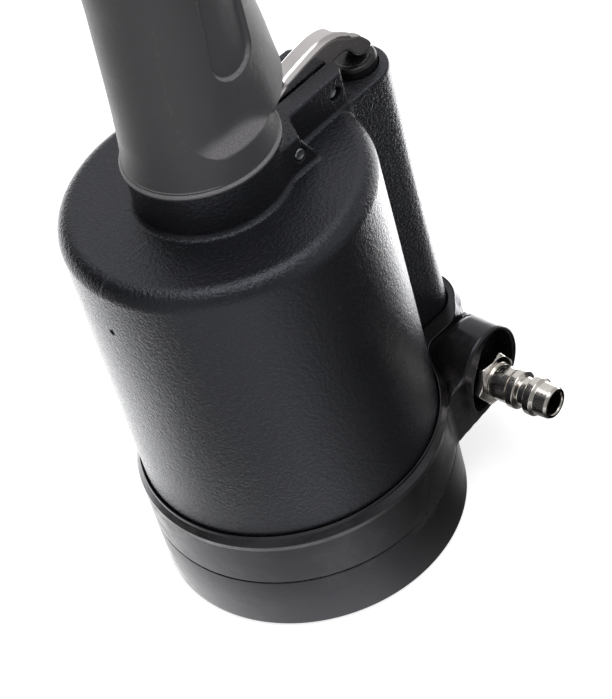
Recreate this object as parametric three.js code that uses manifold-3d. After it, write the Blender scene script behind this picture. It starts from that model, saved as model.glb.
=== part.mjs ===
// Air-operated hand pump: a large air cylinder with a cast valve housing on its
// side, a grip around a slim pump barrel on top, a thumb lever over the valve
// button, and an air inlet plug in the base ring.
//
// Millimetres, +Z up. Origin: centre of the underside of the base.
// +X points from the cylinder axis to the valve housing; -Y is the inlet side.

import * as THREE from 'three';
import { mergeVertices } from 'three/addons/utils/BufferGeometryUtils.js';
import Module from 'manifold-3d';

// ---------------------------------------------------------------- dimensions

const GAP = 0.3; // assembly gap between neighbouring pieces

// air cylinder
const CYLINDER_RADIUS = 50.3;
const CYLINDER_BORE = 45.0; // radius
const CYLINDER_FOOT = 8.0; // lower end of the wall, inside the base
const CYLINDER_TOP = 147.7;
const HEAD_UNDERSIDE = 139.0;
const SHOULDER_RADIUS = 6.0; // rounding between wall and top
const COLLAR_RADIUS = 24.4; // spigot that carries the grip
const COLLAR_TOP = 162.9;

// base
const BASE_RADIUS = 52.8;
const SEAM_Z = 21.5; // joint between base cup and base ring
const RING_FOOT = SEAM_Z + 0.1;
const RING_TOP = 43.0;

// valve housing: upright rib cast on the cylinder wall
const RIB_X = 61.57;
const RIB_RADIUS = 12.84;
const RIB_HALF_WIDTH = 12.3;
const RIB_CLEARANCE = 0.35; // between the rib and its socket
const RIB_FOOT = 26.6;
const SOCKET_RADIUS = 17.3; // socket of the base ring around the rib
const SOCKET_ROOT_X = 44; // start of the socket, inside the cylinder wall
const SOCKET_TOP = 44.5;
const VALVE_X = 64.0; // axis of the valve and its button
const BUTTON_RADIUS = 7.8;
const BUTTON_TOP = 151.2;
const PORT_Z = 112; // cross passage from the rib into the valve sleeve

// lever bracket on top of the cylinder
const BRACKET_TOP = 160.2;
const BRACKET_Y = 11.8; // outer face of each cheek
const SLOT_Y = 4.4; // half width of the slot for the lever
const LUG_Y = 21.0; // face of the lug that holds the pivot pin
const PIVOT = { x: 19.3, z: 153.6 };
const STOP = { x: 45.0, z: 154.3 };
const PIN_RADIUS = 2.0;
const LEVER_Y = 4.0; // half width of the lever

// air inlet boss
const BOSS_ANGLE = THREE.MathUtils.degToRad(-85.4); // direction of its axis in plan
const BOSS_FACE = 43.04; // end face from the origin, along the axis
const BOSS_SHIFT = 54.5; // centre from the origin, across the axis
const BOSS_Z = 36.4;
const BOSS_RADIUS = 14.5;
const NOSE_ACROSS = 0.4; // round body from the boss centre
const PLUG_ACROSS = -0.5; // plug axis from the boss centre
const PLUG_UP = -4.1;

// grip stations: z, half length (X), half width (Y), centre offset in X
const GRIP = [
  [163.4, 23.6, 23.6, 0.0], [164.0, 24.2, 24.2, 0.1], [165.6, 24.3, 24.1, 0.8],
  [169.0, 24.8, 24.3, 1.8], [175.0, 25.6, 25.0, 2.9], [180.0, 26.0, 24.9, 3.7],
  [185.0, 26.0, 24.3, 4.1], [192.0, 25.6, 23.3, 4.1], [201.0, 25.0, 22.3, 4.0],
  [212.0, 24.9, 22.0, 4.0], [226.0, 24.5, 21.6, 4.2], [244.0, 24.2, 21.4, 4.2],
  [262.0, 24.4, 21.7, 3.7], [276.0, 24.4, 22.2, 2.6], [284.0, 24.0, 22.6, 1.4],
  [288.4, 23.2, 22.4, 0.6], [290.0, 21.6, 21.2, 0.3],
];
const GRIP_BLANK_RADIUS = 24; // round outside, before the stations shape it

// pump barrel and head
const BARREL_RADIUS = 15.0;
const BARREL_HOLE = BARREL_RADIUS + GAP; // radius of the holes around the barrel
const BARREL_BORE = 9.5;
const BARREL_FOOT = 134.5;
const BARREL_TOP = 302.6;
const ROD_RADIUS = 6.0;
const ROD_HOLE = ROD_RADIUS + GAP;

// ----------------------------------------------------------------- materials

// colour, roughness, metalness
const FINISH = {
  castBlack: [0x17181a, 0.55, 0.2],
  glossBlack: [0x121213, 0.18, 0.1],
  padRubber: [0x1b1b1c, 0.9, 0],
  bumperRubber: [0x202022, 0.8, 0],
  gasketRubber: [0x1a1a1a, 0.85, 0],
  plateOring: [0x111111, 0.6, 0],
  glandRubber: [0x141414, 0.7, 0],
  stemOring: [0x141414, 0.6, 0],
  sealRubber: [0x151515, 0.6, 0],
  gripGrey: [0x4b4b4d, 0.6, 0],
  buttonBlack: [0x101012, 0.35, 0],
  nutBlack: [0x2a2b2d, 0.45, 0.6],
  plateMetal: [0xa9abad, 0.35, 1],
  ringSteel: [0x55585c, 0.4, 1],
  barrelSteel: [0x9a9da1, 0.3, 1],
  nutSteel: [0x9a9da1, 0.35, 1],
  headMetal: [0xb2b5b9, 0.3, 1],
  pistonMetal: [0xb0b2b5, 0.35, 1],
  pinSteel: [0xc9ccd0, 0.25, 1],
  stemSteel: [0xb9bcc0, 0.25, 1],
  rodSteel: [0xc4c7cb, 0.15, 1],
  ballSteel: [0xcfd2d6, 0.1, 1],
  fineSpring: [0xa8abb0, 0.3, 1],
  heavySpring: [0x8f9296, 0.35, 1],
  screenSteel: [0x8d9094, 0.4, 1],
  plugMetal: [0xc8c2b8, 0.18, 1],
  leverMetal: [0xd8d6d2, 0.08, 1],
  brass: [0xb5924c, 0.35, 1],
  barbBrass: [0xbb9a55, 0.3, 1],
  copper: [0xb87345, 0.4, 1],
};

// -------------------------------------------------------------------- solids

const wasm = await Module();
wasm.setup();

// manifold of a geometry; a manifold passes through
function solid(shape) {
  if (!(shape instanceof THREE.BufferGeometry)) return shape;
  const bare = shape.clone();
  bare.deleteAttribute('normal');
  bare.deleteAttribute('uv');
  const merged = mergeVertices(bare, 1e-5);
  return new wasm.Manifold(new wasm.Mesh({
    numProp: 3,
    vertProperties: new Float32Array(merged.attributes.position.array),
    triVerts: new Uint32Array(merged.index.array),
  }));
}

// geometry of a manifold; a geometry passes through
function geometryOf(shape) {
  if (shape instanceof THREE.BufferGeometry) return shape;
  const mesh = shape.getMesh();
  const geometry = new THREE.BufferGeometry();
  const positions = new Float32Array(mesh.vertProperties);
  geometry.setAttribute('position', new THREE.BufferAttribute(positions, 3));
  geometry.setIndex(new THREE.BufferAttribute(new Uint32Array(mesh.triVerts), 1));
  geometry.computeVertexNormals();
  return geometry;
}

const join = (first, ...rest) => rest.reduce((sum, part) => sum.add(solid(part)), solid(first));
const cut = (first, ...rest) => rest.reduce((left, tool) => left.subtract(solid(tool)), solid(first));
const common = (first, second) => solid(first).intersect(solid(second));

// -------------------------------------------------------------------- shapes

// [radius, z] points revolved about Z; a profile that starts off the axis is closed
function lathe(profile, segments) {
  const points = profile.map(([radius, z]) => new THREE.Vector2(radius, z));
  if (profile[0][0] > 0) points.push(points[0].clone());
  const geometry = new THREE.LatheGeometry(points, segments);
  geometry.rotateX(Math.PI / 2);
  const area = profile.reduce((sum, [radius, z], i) => {
    const [nextRadius, nextZ] = profile[(i + 1) % profile.length];
    return sum + radius * nextZ - nextRadius * z;
  }, 0);
  if (area < 0) {
    // a clockwise profile gives inward faces, so turn them over
    const index = geometry.index.array;
    for (let i = 0; i < index.length; i += 3) {
      [index[i], index[i + 2]] = [index[i + 2], index[i]];
    }
  }
  return geometry;
}

// upright cylinder
function post(radius, bottom, top, segments, x = 0, y = 0) {
  const geometry = new THREE.CylinderGeometry(radius, radius, top - bottom, segments);
  geometry.rotateX(Math.PI / 2);
  return geometry.translate(x, y, (bottom + top) / 2);
}

// cylinder along Y at (x, z)
function bar(radius, from, to, x, z, segments) {
  const geometry = new THREE.CylinderGeometry(radius, radius, to - from, segments);
  return geometry.translate(x, (from + to) / 2, z);
}

// six-sided cylinder along X at (y, z)
function rail(radius, from, to, y, z) {
  const geometry = new THREE.CylinderGeometry(radius, radius, to - from, 6);
  geometry.rotateZ(Math.PI / 2);
  return geometry.translate((from + to) / 2, y, z);
}

// hexagonal bar along Z, sized across flats
function hex(flats, bottom, top, turn = 0) {
  const radius = flats / Math.sqrt(3);
  const geometry = new THREE.CylinderGeometry(radius, radius, top - bottom, 6);
  geometry.rotateX(Math.PI / 2);
  geometry.rotateZ(turn);
  return geometry.translate(0, 0, (bottom + top) / 2);
}

// box given by its range on each axis
function block([x0, x1], [y0, y1], [z0, z1]) {
  const geometry = new THREE.BoxGeometry(x1 - x0, y1 - y0, z1 - z0);
  return geometry.translate((x0 + x1) / 2, (y0 + y1) / 2, (z0 + z1) / 2);
}

const shapeOf = (points) => new THREE.Shape(points.map((point) => new THREE.Vector2(...point)));

const extrude = (points, depth) => new THREE.ExtrudeGeometry(shapeOf(points), {
  depth, bevelEnabled: false, steps: 1,
});

// plan outline [x, y] raised along Z
const raise = (points, bottom, top) => extrude(points, top - bottom).translate(0, 0, bottom);

// side outline [x, z] spread along Y
const spread = (points, from, to) => extrude(points, to - from)
  .rotateX(Math.PI / 2)
  .translate(0, to, 0);

// points on an arc, angles in degrees
function arc(centreX, centreY, radius, start, end, steps) {
  return Array.from({ length: steps + 1 }, (_, i) => {
    const angle = THREE.MathUtils.degToRad(start + (end - start) * i / steps);
    return [centreX + radius * Math.cos(angle), centreY + radius * Math.sin(angle)];
  });
}

// plan outline with a round end towards +X and straight sides back to rootX
function tongue(rootX, centreX, radius, halfWidth, steps = 14) {
  const angle = THREE.MathUtils.radToDeg(Math.asin(halfWidth / radius));
  const end = arc(centreX, 0, radius, -angle, angle, steps);
  return [[rootX, -halfWidth], ...end, [rootX, halfWidth]];
}

// helix along Z
class Coil extends THREE.Curve {
  constructor(path) {
    super();
    Object.assign(this, path);
  }

  getPoint(t, target = new THREE.Vector3()) {
    const angle = 2 * Math.PI * this.turns * t;
    return target.set(
      this.x + this.radius * Math.cos(angle),
      this.radius * Math.sin(angle),
      this.start + (this.end - this.start) * t,
    );
  }
}

// coil spring along Z; wire is the radius of its four-sided wire
function spring({ radius, wire, bottom, top, turns, perTurn, x = 0 }) {
  return new THREE.ExtrudeGeometry(shapeOf(arc(0, 0, wire, 0, 270, 3)), {
    steps: Math.round(turns * perTurn),
    bevelEnabled: false,
    extrudePath: new Coil({ radius, start: bottom + wire, end: top - wire, turns, x }),
  });
}

const oring = (radius, wire, z, segments) =>
  new THREE.TorusGeometry(radius, wire, 5, segments).translate(0, 0, z);

// boss frame: local X across the boss, local Y up, local Z outwards
const bossOut = new THREE.Vector3(Math.cos(BOSS_ANGLE), Math.sin(BOSS_ANGLE), 0);
const bossAcross = new THREE.Vector3(-Math.sin(BOSS_ANGLE), Math.cos(BOSS_ANGLE), 0);
const bossCentre = bossOut.clone()
  .multiplyScalar(BOSS_FACE)
  .addScaledVector(bossAcross, BOSS_SHIFT)
  .setZ(BOSS_Z);
const bossFrame = new THREE.Matrix4()
  .makeBasis(bossAcross, new THREE.Vector3(0, 0, 1), bossOut)
  .setPosition(bossCentre);
const inBoss = (geometry, across = 0, up = 0) =>
  geometry.translate(across, up, 0).applyMatrix4(bossFrame);
const onPlug = (geometry) => inBoss(geometry, PLUG_ACROSS, PLUG_UP);

const model = new THREE.Group();

function piece(name, shape, [color, roughness, metalness], parent = model) {
  const material = new THREE.MeshStandardMaterial({ color, roughness, metalness });
  const mesh = new THREE.Mesh(geometryOf(shape), material);
  mesh.name = name;
  parent.add(mesh);
}

// --------------------------------------------------------- cylinder and base

// lever cheeks and the gussets behind their lugs, on both sides of the slot
function leverBracket() {
  const cheek = [
    [8, -SLOT_Y], [8, -LUG_Y], [13.5, -LUG_Y], [20.4, -LUG_Y], [25.4, -BRACKET_Y - 0.2],
    [48.9, -BRACKET_Y], [50.7, -9.4], [51.0, -SLOT_Y],
  ];
  const gusset = [
    [19, CYLINDER_TOP - 1], [25.8, CYLINDER_TOP - 1], [25.2, CYLINDER_TOP + 1.6],
    [20.6, BRACKET_TOP - 2.4], [19, BRACKET_TOP - 2.4],
  ];
  const cheeks = [1, -1].map((side) =>
    raise(cheek.map(([x, y]) => [x, side * y]), CYLINDER_TOP - 1, BRACKET_TOP));
  const gussetRoot = BRACKET_Y - 2;
  return [...cheeks, spread(gusset, -LUG_Y, -gussetRoot), spread(gusset, gussetRoot, LUG_Y)];
}

// casting: wall, head, collar, valve rib and lever bracket
function cylinderBody() {
  const shell = lathe([
    [0, CYLINDER_FOOT], [CYLINDER_RADIUS, CYLINDER_FOOT],
    ...arc(CYLINDER_RADIUS - SHOULDER_RADIUS, CYLINDER_TOP - SHOULDER_RADIUS,
      SHOULDER_RADIUS, 0, 90, 4),
    [COLLAR_RADIUS + 2, CYLINDER_TOP], [COLLAR_RADIUS + 0.6, CYLINDER_TOP + 0.6],
    [COLLAR_RADIUS, CYLINDER_TOP + 2], [COLLAR_RADIUS, COLLAR_TOP], [0, COLLAR_TOP],
  ], 40);
  const rib = raise(tongue(47.2, RIB_X, RIB_RADIUS, RIB_HALF_WIDTH), RIB_FOOT, CYLINDER_TOP);
  return cut(join(shell, rib, ...leverBracket()),
    // lever slot into the collar
    block([15.7, 27], [-SLOT_Y, SLOT_Y], [CYLINDER_TOP + 1, COLLAR_TOP + 5]),
    // cylinder bore, retaining ring groove and barrel hole
    post(CYLINDER_BORE, 0, HEAD_UNDERSIDE, 40),
    post(46.6, 9.4, 11.6, 40),
    post(BARREL_HOLE, 120, 180, 24),
    // button well, and valve bore below it
    post(BUTTON_RADIUS + GAP, 128, 170, 24, VALVE_X),
    post(6.4, 104, 129, 16, VALVE_X),
    // upright passage in the rib, entered from -Y at plug height
    post(3.2, 29, 105, 8, 60),
    bar(3.0, -16, 1, 57.5, BOSS_Z + PLUG_UP, 8),
    // narrow upright passage in the wall, with a cross hole near each end
    post(1.5, 20.6, 113, 6, 47.9),
    rail(1.4, 43, 48.4, 0, 21.4),
    rail(1.4, 47.4, 59, 0, PORT_Z),
    // pin holes
    ...[PIVOT, STOP].map(({ x, z }) => bar(PIN_RADIUS + GAP, -30, 30, x, z, 14)),
    // small hole through the wall on the -X side
    rail(0.8, -60, -40, 0.6, 127.2),
  );
}
piece('cylinder_body', cylinderBody(), FINISH.castBlack);

// pocket around the plug in the boss face [across, up]: round towards +X,
// flared towards the web
const PLUG_POCKET = [
  [1.0, 11.8], [-2.2, 9.8], [-5.3, 6.0], [-8.4, 1.4], [-10.7, -4.1], [-10.9, -8.4],
  [-10.3, -11.4], [-8.6, -13.3], [-3.8, -13.6], [3.6, -13.1], [8.4, -10.6], [11.7, -6.0],
  [12.9, -0.3], [12.4, 4.5], [10.6, 8.4], [7.7, 11.1], [4.2, 12.3],
];

// lip around the cylinder, socket for the rib, and inlet boss
function baseRing() {
  const lip = lathe([
    [48, RING_FOOT], [BASE_RADIUS, RING_FOOT], [BASE_RADIUS, 36.4], [52.4, 39.2],
    [51.8, 41.4], [51.0, 42.7], [50.2, RING_TOP], [48, RING_TOP],
  ], 40);
  const socket = raise(
    tongue(SOCKET_ROOT_X, RIB_X, SOCKET_RADIUS, SOCKET_RADIUS - 0.01), RING_FOOT, SOCKET_TOP);
  const flare = raise([
    [SOCKET_ROOT_X, -20.5], ...arc(60, -11.5, 9, -90, 0, 5), [60, 0], [SOCKET_ROOT_X, 0],
  ], RING_FOOT, SOCKET_TOP);
  const nose = inBoss(post(BOSS_RADIUS, -17, 0, 28, NOSE_ACROSS));
  const neck = common(
    inBoss(post(BOSS_RADIUS, -27, -16, 28, NOSE_ACROSS)),
    block([0, 120], [-80, 0], [0, RING_TOP]));
  const web = inBoss(block([-24.5, 0], [-14.8, RING_TOP - BOSS_Z], [-26, 0]));
  const aboveSeam = block([-100, 100], [-100, 100], [RING_FOOT, 80]);
  const ribHole = tongue(
    SOCKET_ROOT_X, RIB_X, RIB_RADIUS + RIB_CLEARANCE, RIB_HALF_WIDTH + RIB_CLEARANCE);
  return cut(common(join(lip, socket, flare, nose, neck, web), aboveSeam),
    post(CYLINDER_RADIUS + GAP, 0, 80, 40),
    raise(ribHole, 24.6, 80),
    inBoss(raise(PLUG_POCKET, -8, 2)),
    // bush bore and the narrower passage behind it
    onPlug(post(7.7, -23.2, -7.5, 16)),
    onPlug(post(3.4, -34, -22, 8)),
  );
}
piece('base_ring', baseRing(), FINISH.glossBlack);

// base cup and its foot pad
piece('base_cup', lathe([
  [0, 2.7], [45.3, 2.7], [45.3, 0.4], [51.6, 0.4], [52.4, 0.8], [BASE_RADIUS, 1.6],
  [BASE_RADIUS, SEAM_Z - 0.2], [50.6, SEAM_Z - 0.2], [50.6, 6.5], [0, 6.5],
], 40), FINISH.glossBlack);
piece('foot_pad', lathe([
  [0, 0], [44.4, 0], [45.0, 0.6], [45.0, 2.4], [0, 2.4],
], 40), FINISH.padRubber);

// bottom closure of the air cylinder
piece('end_plate', lathe([
  [0, 11.9], [44.0, 11.9], [44.7, 12.6], [44.7, 14.3], [42.5, 14.3],
  [42.5, 16.9], [44.7, 16.9], [44.7, 19.6], [0, 19.6],
], 32), FINISH.plateMetal);
piece('end_plate_oring', oring(43.72, 0.92, 15.6, 32), FINISH.plateOring);

// retaining ring, open towards -X
piece('retaining_ring', cut(
  lathe([[42.8, 9.8], [46.3, 9.8], [46.3, 11.2], [42.8, 11.2]], 28),
  raise([[0, 0], [-55, -9], [-55, 9]], 0, 20),
), FINISH.ringSteel);

piece('piston_bumper', lathe([
  [29, 19.9], [37, 19.9], [37, 21.6], [36, 22.6], [30, 22.6], [29, 21.6],
], 24), FINISH.bumperRubber);

// gasket under the rib
const gasketOutline = tongue(52.0, RIB_X, 12.5, 11.9, 8);
piece('socket_gasket', solid(raise(gasketOutline, 24.9, 26.3)), FINISH.gasketRubber);

// ------------------------------------------------------------ grip and barrel

// oval outside, round inside, with a shallow finger panel on each Y side
function gripSleeve() {
  const sleeve = lathe([
    [BARREL_HOLE, GRIP[0][0]],
    ...GRIP.map(([z]) => [GRIP_BLANK_RADIUS, z]),
    [BARREL_HOLE, GRIP.at(-1)[0]],
  ], 32);
  const position = sleeve.attributes.position;
  for (let i = 0; i < position.count; i++) {
    const x = position.getX(i);
    const y = position.getY(i);
    const z = position.getZ(i);
    const onBore = Math.hypot(x, y) < GRIP_BLANK_RADIUS - 1;
    if (onBore) continue;
    const [, halfLength, halfWidth, offset] = GRIP.reduce((best, row) =>
      (Math.abs(row[0] - z) < Math.abs(best[0] - z) ? row : best));
    const angle = Math.atan2(y, x);
    position.setXY(i, offset + halfLength * Math.cos(angle), halfWidth * Math.sin(angle));
  }
  const panel = [...arc(6.0, 201.4, 6.6, 180, 360, 5), ...arc(6.0, 256, 6.6, 0, 180, 5)];
  const panelFloor = 20.9;
  return cut(sleeve, spread(panel, -40, -panelFloor), spread(panel, panelFloor, 40));
}
piece('grip_sleeve', gripSleeve(), FINISH.gripGrey);

// pump barrel with a flange under the cylinder head
piece('pump_barrel', lathe([
  [BARREL_BORE, BARREL_FOOT], [18, BARREL_FOOT], [18, HEAD_UNDERSIDE - GAP],
  [BARREL_RADIUS, HEAD_UNDERSIDE - GAP], [BARREL_RADIUS, BARREL_TOP], [BARREL_BORE, BARREL_TOP],
], 24), FINISH.barrelSteel);

// rod gland and its seal
piece('rod_gland', lathe([
  [ROD_HOLE, 141], [9.2, 141], [9.2, 150], [ROD_HOLE, 150],
], 16), FINISH.brass);
piece('gland_seal', lathe([
  [ROD_HOLE, 150.4], [9.2, 150.4], [9.2, 153.6], [ROD_HOLE, 153.6],
], 16), FINISH.glandRubber);

// nut that clamps the grip, with six notches around its rim
function gripNut() {
  const blank = lathe([
    [BARREL_HOLE, 290.4], [20.2, 290.4], [20.8, 291.2], [20.8, 296.4],
    [20.2, 297.2], [BARREL_HOLE, 297.2],
  ], 24);
  const notches = Array.from({ length: 6 }, (_, i) =>
    post(2.2, 288, 300, 8, 21.2).rotateZ(i * Math.PI / 3 + Math.PI / 6));
  return cut(blank, ...notches);
}
piece('grip_nut', gripNut(), FINISH.nutBlack);

// pump head and hose barb
piece('pump_head', lathe([
  [BARREL_HOLE, 297.6], [17.2, 297.6], [18.0, 298.6], [18.0, 315.4], [16.4, 318.0],
  [7.3, 318.0], [7.3, 309.5], [3.0, 306.5], [3.0, 303.0], [BARREL_HOLE, 303.0],
], 24), FINISH.headMetal);

function hoseBarb() {
  const barb = lathe([
    [4.8, 311.2], [7.0, 311.2], [7.0, 318.4], [8.6, 318.4], [8.6, 324.2], [4.6, 324.8],
    [4.6, 327.0], [5.5, 327.4], [4.6, 331.4], [5.5, 331.8], [4.6, 335.8], [5.5, 336.2],
    [4.4, 341.4], [3.9, 342.0], [2.6, 342.0], [2.6, 322.0], [4.8, 321.2],
  ], 16);
  return join(barb, cut(hex(18, 318.6, 323.8), post(6, 310, 330, 24)));
}
piece('hose_barb', hoseBarb(), FINISH.barbBrass);

// lever pins: name, place, half length
for (const [name, { x, z }, half] of [
  ['pivot_pin', PIVOT, LUG_Y - 0.15],
  ['stop_pin', STOP, BRACKET_Y - 0.6],
]) {
  piece(name, bar(PIN_RADIUS, -half, half, x, z, 12), FINISH.pinSteel);
}

// fixed part of the valve, with one cross hole on each X side
piece('valve_sleeve', cut(
  lathe([[3.9, 105], [6.1, 105], [6.1, 127.6], [3.9, 127.6]], 14).translate(VALVE_X, 0, 0),
  rail(1.2, VALVE_X - 9, VALVE_X, 0, PORT_Z),
  rail(1.2, VALVE_X, VALVE_X + 9, 0, 120),
), FINISH.brass);

// ----------------------------------------------------------------- air inlet

function inletPlug() {
  const turned = lathe([
    [4.0, -20.4], [5.0, -20.4], [5.0, -7.0], [6.2, -7.0], [6.2, 9.4], [6.75, 10.1],
    [6.75, 12.9], [5.0, 13.7], [5.0, 16.2], [6.75, 17.0], [6.75, 19.7], [5.8, 20.5],
    [5.6, 25.2], [5.1, 26.0], [4.0, 26.0],
  ], 18);
  const nut = cut(hex(16.6, -6.6, 2.3, Math.PI / 6), post(4.6, -10, 5, 24));
  return onPlug(geometryOf(join(turned, nut)));
}
piece('inlet_plug', inletPlug(), FINISH.plugMetal);

piece('plug_washer', onPlug(lathe([
  [5.35, -7.7], [8.4, -7.7], [8.4, -6.9], [6.35, -6.9], [6.35, -7.3], [5.35, -7.3],
], 16)), FINISH.copper);
piece('inlet_bush', onPlug(lathe([
  [5.3, -21.6], [7.4, -21.6], [7.4, -8.0], [5.3, -8.0],
], 16)), FINISH.brass);

// disc with a circle of six holes
function inletScreen() {
  const pitchRadius = 2.2;
  const holes = Array.from({ length: 6 }, (_, i) => {
    const angle = i * Math.PI / 3;
    const x = pitchRadius * Math.cos(angle);
    const y = pitchRadius * Math.sin(angle);
    return onPlug(post(0.9, -24, -21, 5, x, y));
  });
  return cut(onPlug(post(7.3, -22.9, -21.9, 14)), ...holes);
}
piece('inlet_screen', inletScreen(), FINISH.screenSteel);

// --------------------------------------------------------------------- lever

// side outline [x, z]: pivot eye, underside to the tip, then back along the top
const LEVER_SIDE = [
  ...arc(PIVOT.x, PIVOT.z, 3.3, 100, 270, 10),
  [30, 150.9], [48, 152.5], [50.2, 153.6], [51.6, 156.2], [53.2, 157.4], [56.3, 157.8],
  [58.2, 157.9], [59.9, 157.5], [61.2, 155.8], [62.5, 153.8], [64.2, 152.0], [66.0, 151.6],
  [67.6, 151.8], [69.4, 152.3], [70.3, 153.0], [69.9, 154.6], [67.9, 157.6], [65.6, 160.2],
  [63.0, 162.4], [60.4, 164.3], [57.4, 166.1], [55.0, 166.9], [52.4, 167.3], [50.1, 167.3],
  [46.4, 166.9], [43.1, 166.4], [38.2, 165.4], [34.9, 164.7], [32.8, 163.8], [28.0, 161.0],
  [24.0, 158.6], [20.5, 157.2],
];
// hollow, open underneath [x, z]
const LEVER_HOLLOW = [
  [24.5, 149], [58.6, 149], [58.6, 162.2], [56.8, 164.2], [54.6, 165.2], [50.1, 165.6],
  [43.1, 164.7], [35.3, 163.0], [28.8, 159.4], [24.5, 156.8],
];
piece('lever', cut(
  spread(LEVER_SIDE, -LEVER_Y, LEVER_Y),
  spread(LEVER_HOLLOW, -2.4, 2.4),
  bar(PIN_RADIUS + GAP, -10, 10, PIVOT.x, PIVOT.z, 16),
  // notch over the stop pin
  block([STOP.x - 2.6, STOP.x + 2.6], [-10, 10], [140, STOP.z + PIN_RADIUS + 2.8]),
), FINISH.leverMetal);

// --------------------------------------------------------------- valve slide

const valve = new THREE.Group();
valve.position.x = VALVE_X;
model.add(valve);
piece('valve_button', lathe([
  [0, 143.2], [7.0, 143.2], [BUTTON_RADIUS, 144.0], [BUTTON_RADIUS, 150.2],
  [7.4, 150.9], [6.8, BUTTON_TOP], [0, BUTTON_TOP],
], 24), FINISH.buttonBlack, valve);
piece('valve_stem', lathe([
  [0, 108.6], [3.2, 108.6], [3.5, 109], [3.5, 114.4], [2.3, 114.4], [2.3, 116.6], [3.5, 116.6],
  [3.5, 122.4], [2.3, 122.4], [2.3, 124.6], [3.5, 124.6], [3.5, 142.9], [0, 142.9],
], 14), FINISH.stemSteel, valve);
piece('stem_oring_lower', oring(3.05, 0.55, 115.5, 14), FINISH.stemOring, valve);
piece('stem_oring_upper', oring(3.05, 0.55, 123.5, 14), FINISH.stemOring, valve);
piece('valve_spring', spring({
  radius: 5.5, wire: 0.6, bottom: 129.3, top: 142.9, turns: 5, perTurn: 8, x: VALVE_X,
}), FINISH.fineSpring);

// -------------------------------------------------------------- piston train

piece('air_piston', lathe([
  [9.3, 23], [44.6, 23], [44.6, 27.2], [42.0, 27.2], [42.0, 31.6], [44.6, 31.6], [44.6, 37],
  [38, 37], [34, 31], [12, 31], [9.8, 34], [9.8, 37], [6.3, 37], [6.3, 28.4], [9.3, 28.4],
], 28), FINISH.pistonMetal);
piece('piston_seal', lathe([
  [42.3, 27.5], [44.6, 27.5], [44.6, 31.3], [42.3, 31.3],
], 28), FINISH.sealRubber);
piece('piston_rod', lathe([
  [0, 21.2], [4.0, 21.2], [4.0, 28.4], [ROD_RADIUS, 28.4],
  [ROD_RADIUS, 196], [3.5, 196], [3.5, 209], [0, 209],
], 16), FINISH.rodSteel);
piece('rod_nut', cut(hex(13, 21.0, 27.8), post(4.3, 15, 30, 14)), FINISH.nutSteel);
piece('plunger_head', lathe([
  [3.8, 196.3], [9.1, 196.3], [9.1, 200], [7.6, 200],
  [7.6, 204], [9.1, 204], [9.1, 207.4], [3.8, 207.4],
], 16), FINISH.brass);
piece('cup_seal', lathe([
  [7.9, 200.3], [9.15, 200.3], [9.15, 203.7], [7.9, 203.7],
], 16), FINISH.sealRubber);
piece('return_spring', spring({
  radius: 27, wire: 1.8, bottom: 31.3, top: 138.7, turns: 8, perTurn: 10,
}), FINISH.heavySpring);

// --------------------------------------- delivery check valve in the pump head

const checkBall = new THREE.SphereGeometry(3.9, 12, 8).translate(0, 0, 309.55);
piece('check_ball', checkBall, FINISH.ballSteel);
piece('check_spring', spring({
  radius: 2.3, wire: 0.4, bottom: 313.5, top: 320.9, turns: 4, perTurn: 6,
}), FINISH.fineSpring);

export default model;
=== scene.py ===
# A pump worked by air and a thumb lever. It stands on z = 0 with its axis on Z: base cup and
# ring, cylinder casting, grip around the pump barrel, and a hose barb on top at z = 342.
# The valve and the lever point to +X; the inlet plug faces -Y beside the valve.
# Shapes are written in mm and scaled to metres when a mesh is made.
import math
from functools import reduce

import bpy
import numpy as np
from mathutils import Matrix, Vector


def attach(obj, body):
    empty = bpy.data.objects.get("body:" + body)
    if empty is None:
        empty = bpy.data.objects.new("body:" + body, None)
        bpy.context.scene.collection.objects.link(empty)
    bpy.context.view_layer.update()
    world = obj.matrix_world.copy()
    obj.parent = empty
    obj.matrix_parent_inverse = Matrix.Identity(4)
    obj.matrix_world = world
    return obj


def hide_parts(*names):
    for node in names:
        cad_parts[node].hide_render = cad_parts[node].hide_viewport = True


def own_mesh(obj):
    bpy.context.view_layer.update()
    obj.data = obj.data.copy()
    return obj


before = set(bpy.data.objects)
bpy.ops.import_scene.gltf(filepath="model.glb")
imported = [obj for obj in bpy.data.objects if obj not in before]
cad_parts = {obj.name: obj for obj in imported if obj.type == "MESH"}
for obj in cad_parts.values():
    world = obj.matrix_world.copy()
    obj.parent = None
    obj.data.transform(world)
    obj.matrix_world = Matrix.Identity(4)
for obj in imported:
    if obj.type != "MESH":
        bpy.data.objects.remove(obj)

MM = 0.001
scene = bpy.context.scene


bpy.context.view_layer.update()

# Driving dimensions shared between pieces
BASE_R = 52.8                 # outside of the base cup and ring
RING_BORE_R = 50.6            # bore of the base ring and inside of the cup wall
RING_FOOT_Z = 21.6            # lower edge of the base ring
CASTING_R = 50.3
CASTING_TOP_Z = 147.7
ARM_X = 61.57                 # centre of the round end of the valve housing
VALVE_X = 64.0
PIVOT_X, PIVOT_Z = 19.3, 153.6
STOP_X, STOP_Z = 45.0, 154.3
PIN_HOLE_R = 2.3
CHEEK_SIDE = 20.95            # half width over the lever cheeks
LEVER_GAP = 4.4               # half width between the cheeks
SLEEVE_BORE_R = 15.3          # bore of the grip, its nut and the head
GRIP_FOOT_Z = 163.4

# --------------------------------------------------------------------------
# Shader graphs
# --------------------------------------------------------------------------


def rgba(value):
    """Fills a tuple up to four values with ones; anything else passes through."""
    return value + (1.0,) * (4 - len(value)) if isinstance(value, tuple) else value


def scaled(color, factor):
    return tuple(c * factor for c in color)


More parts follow.
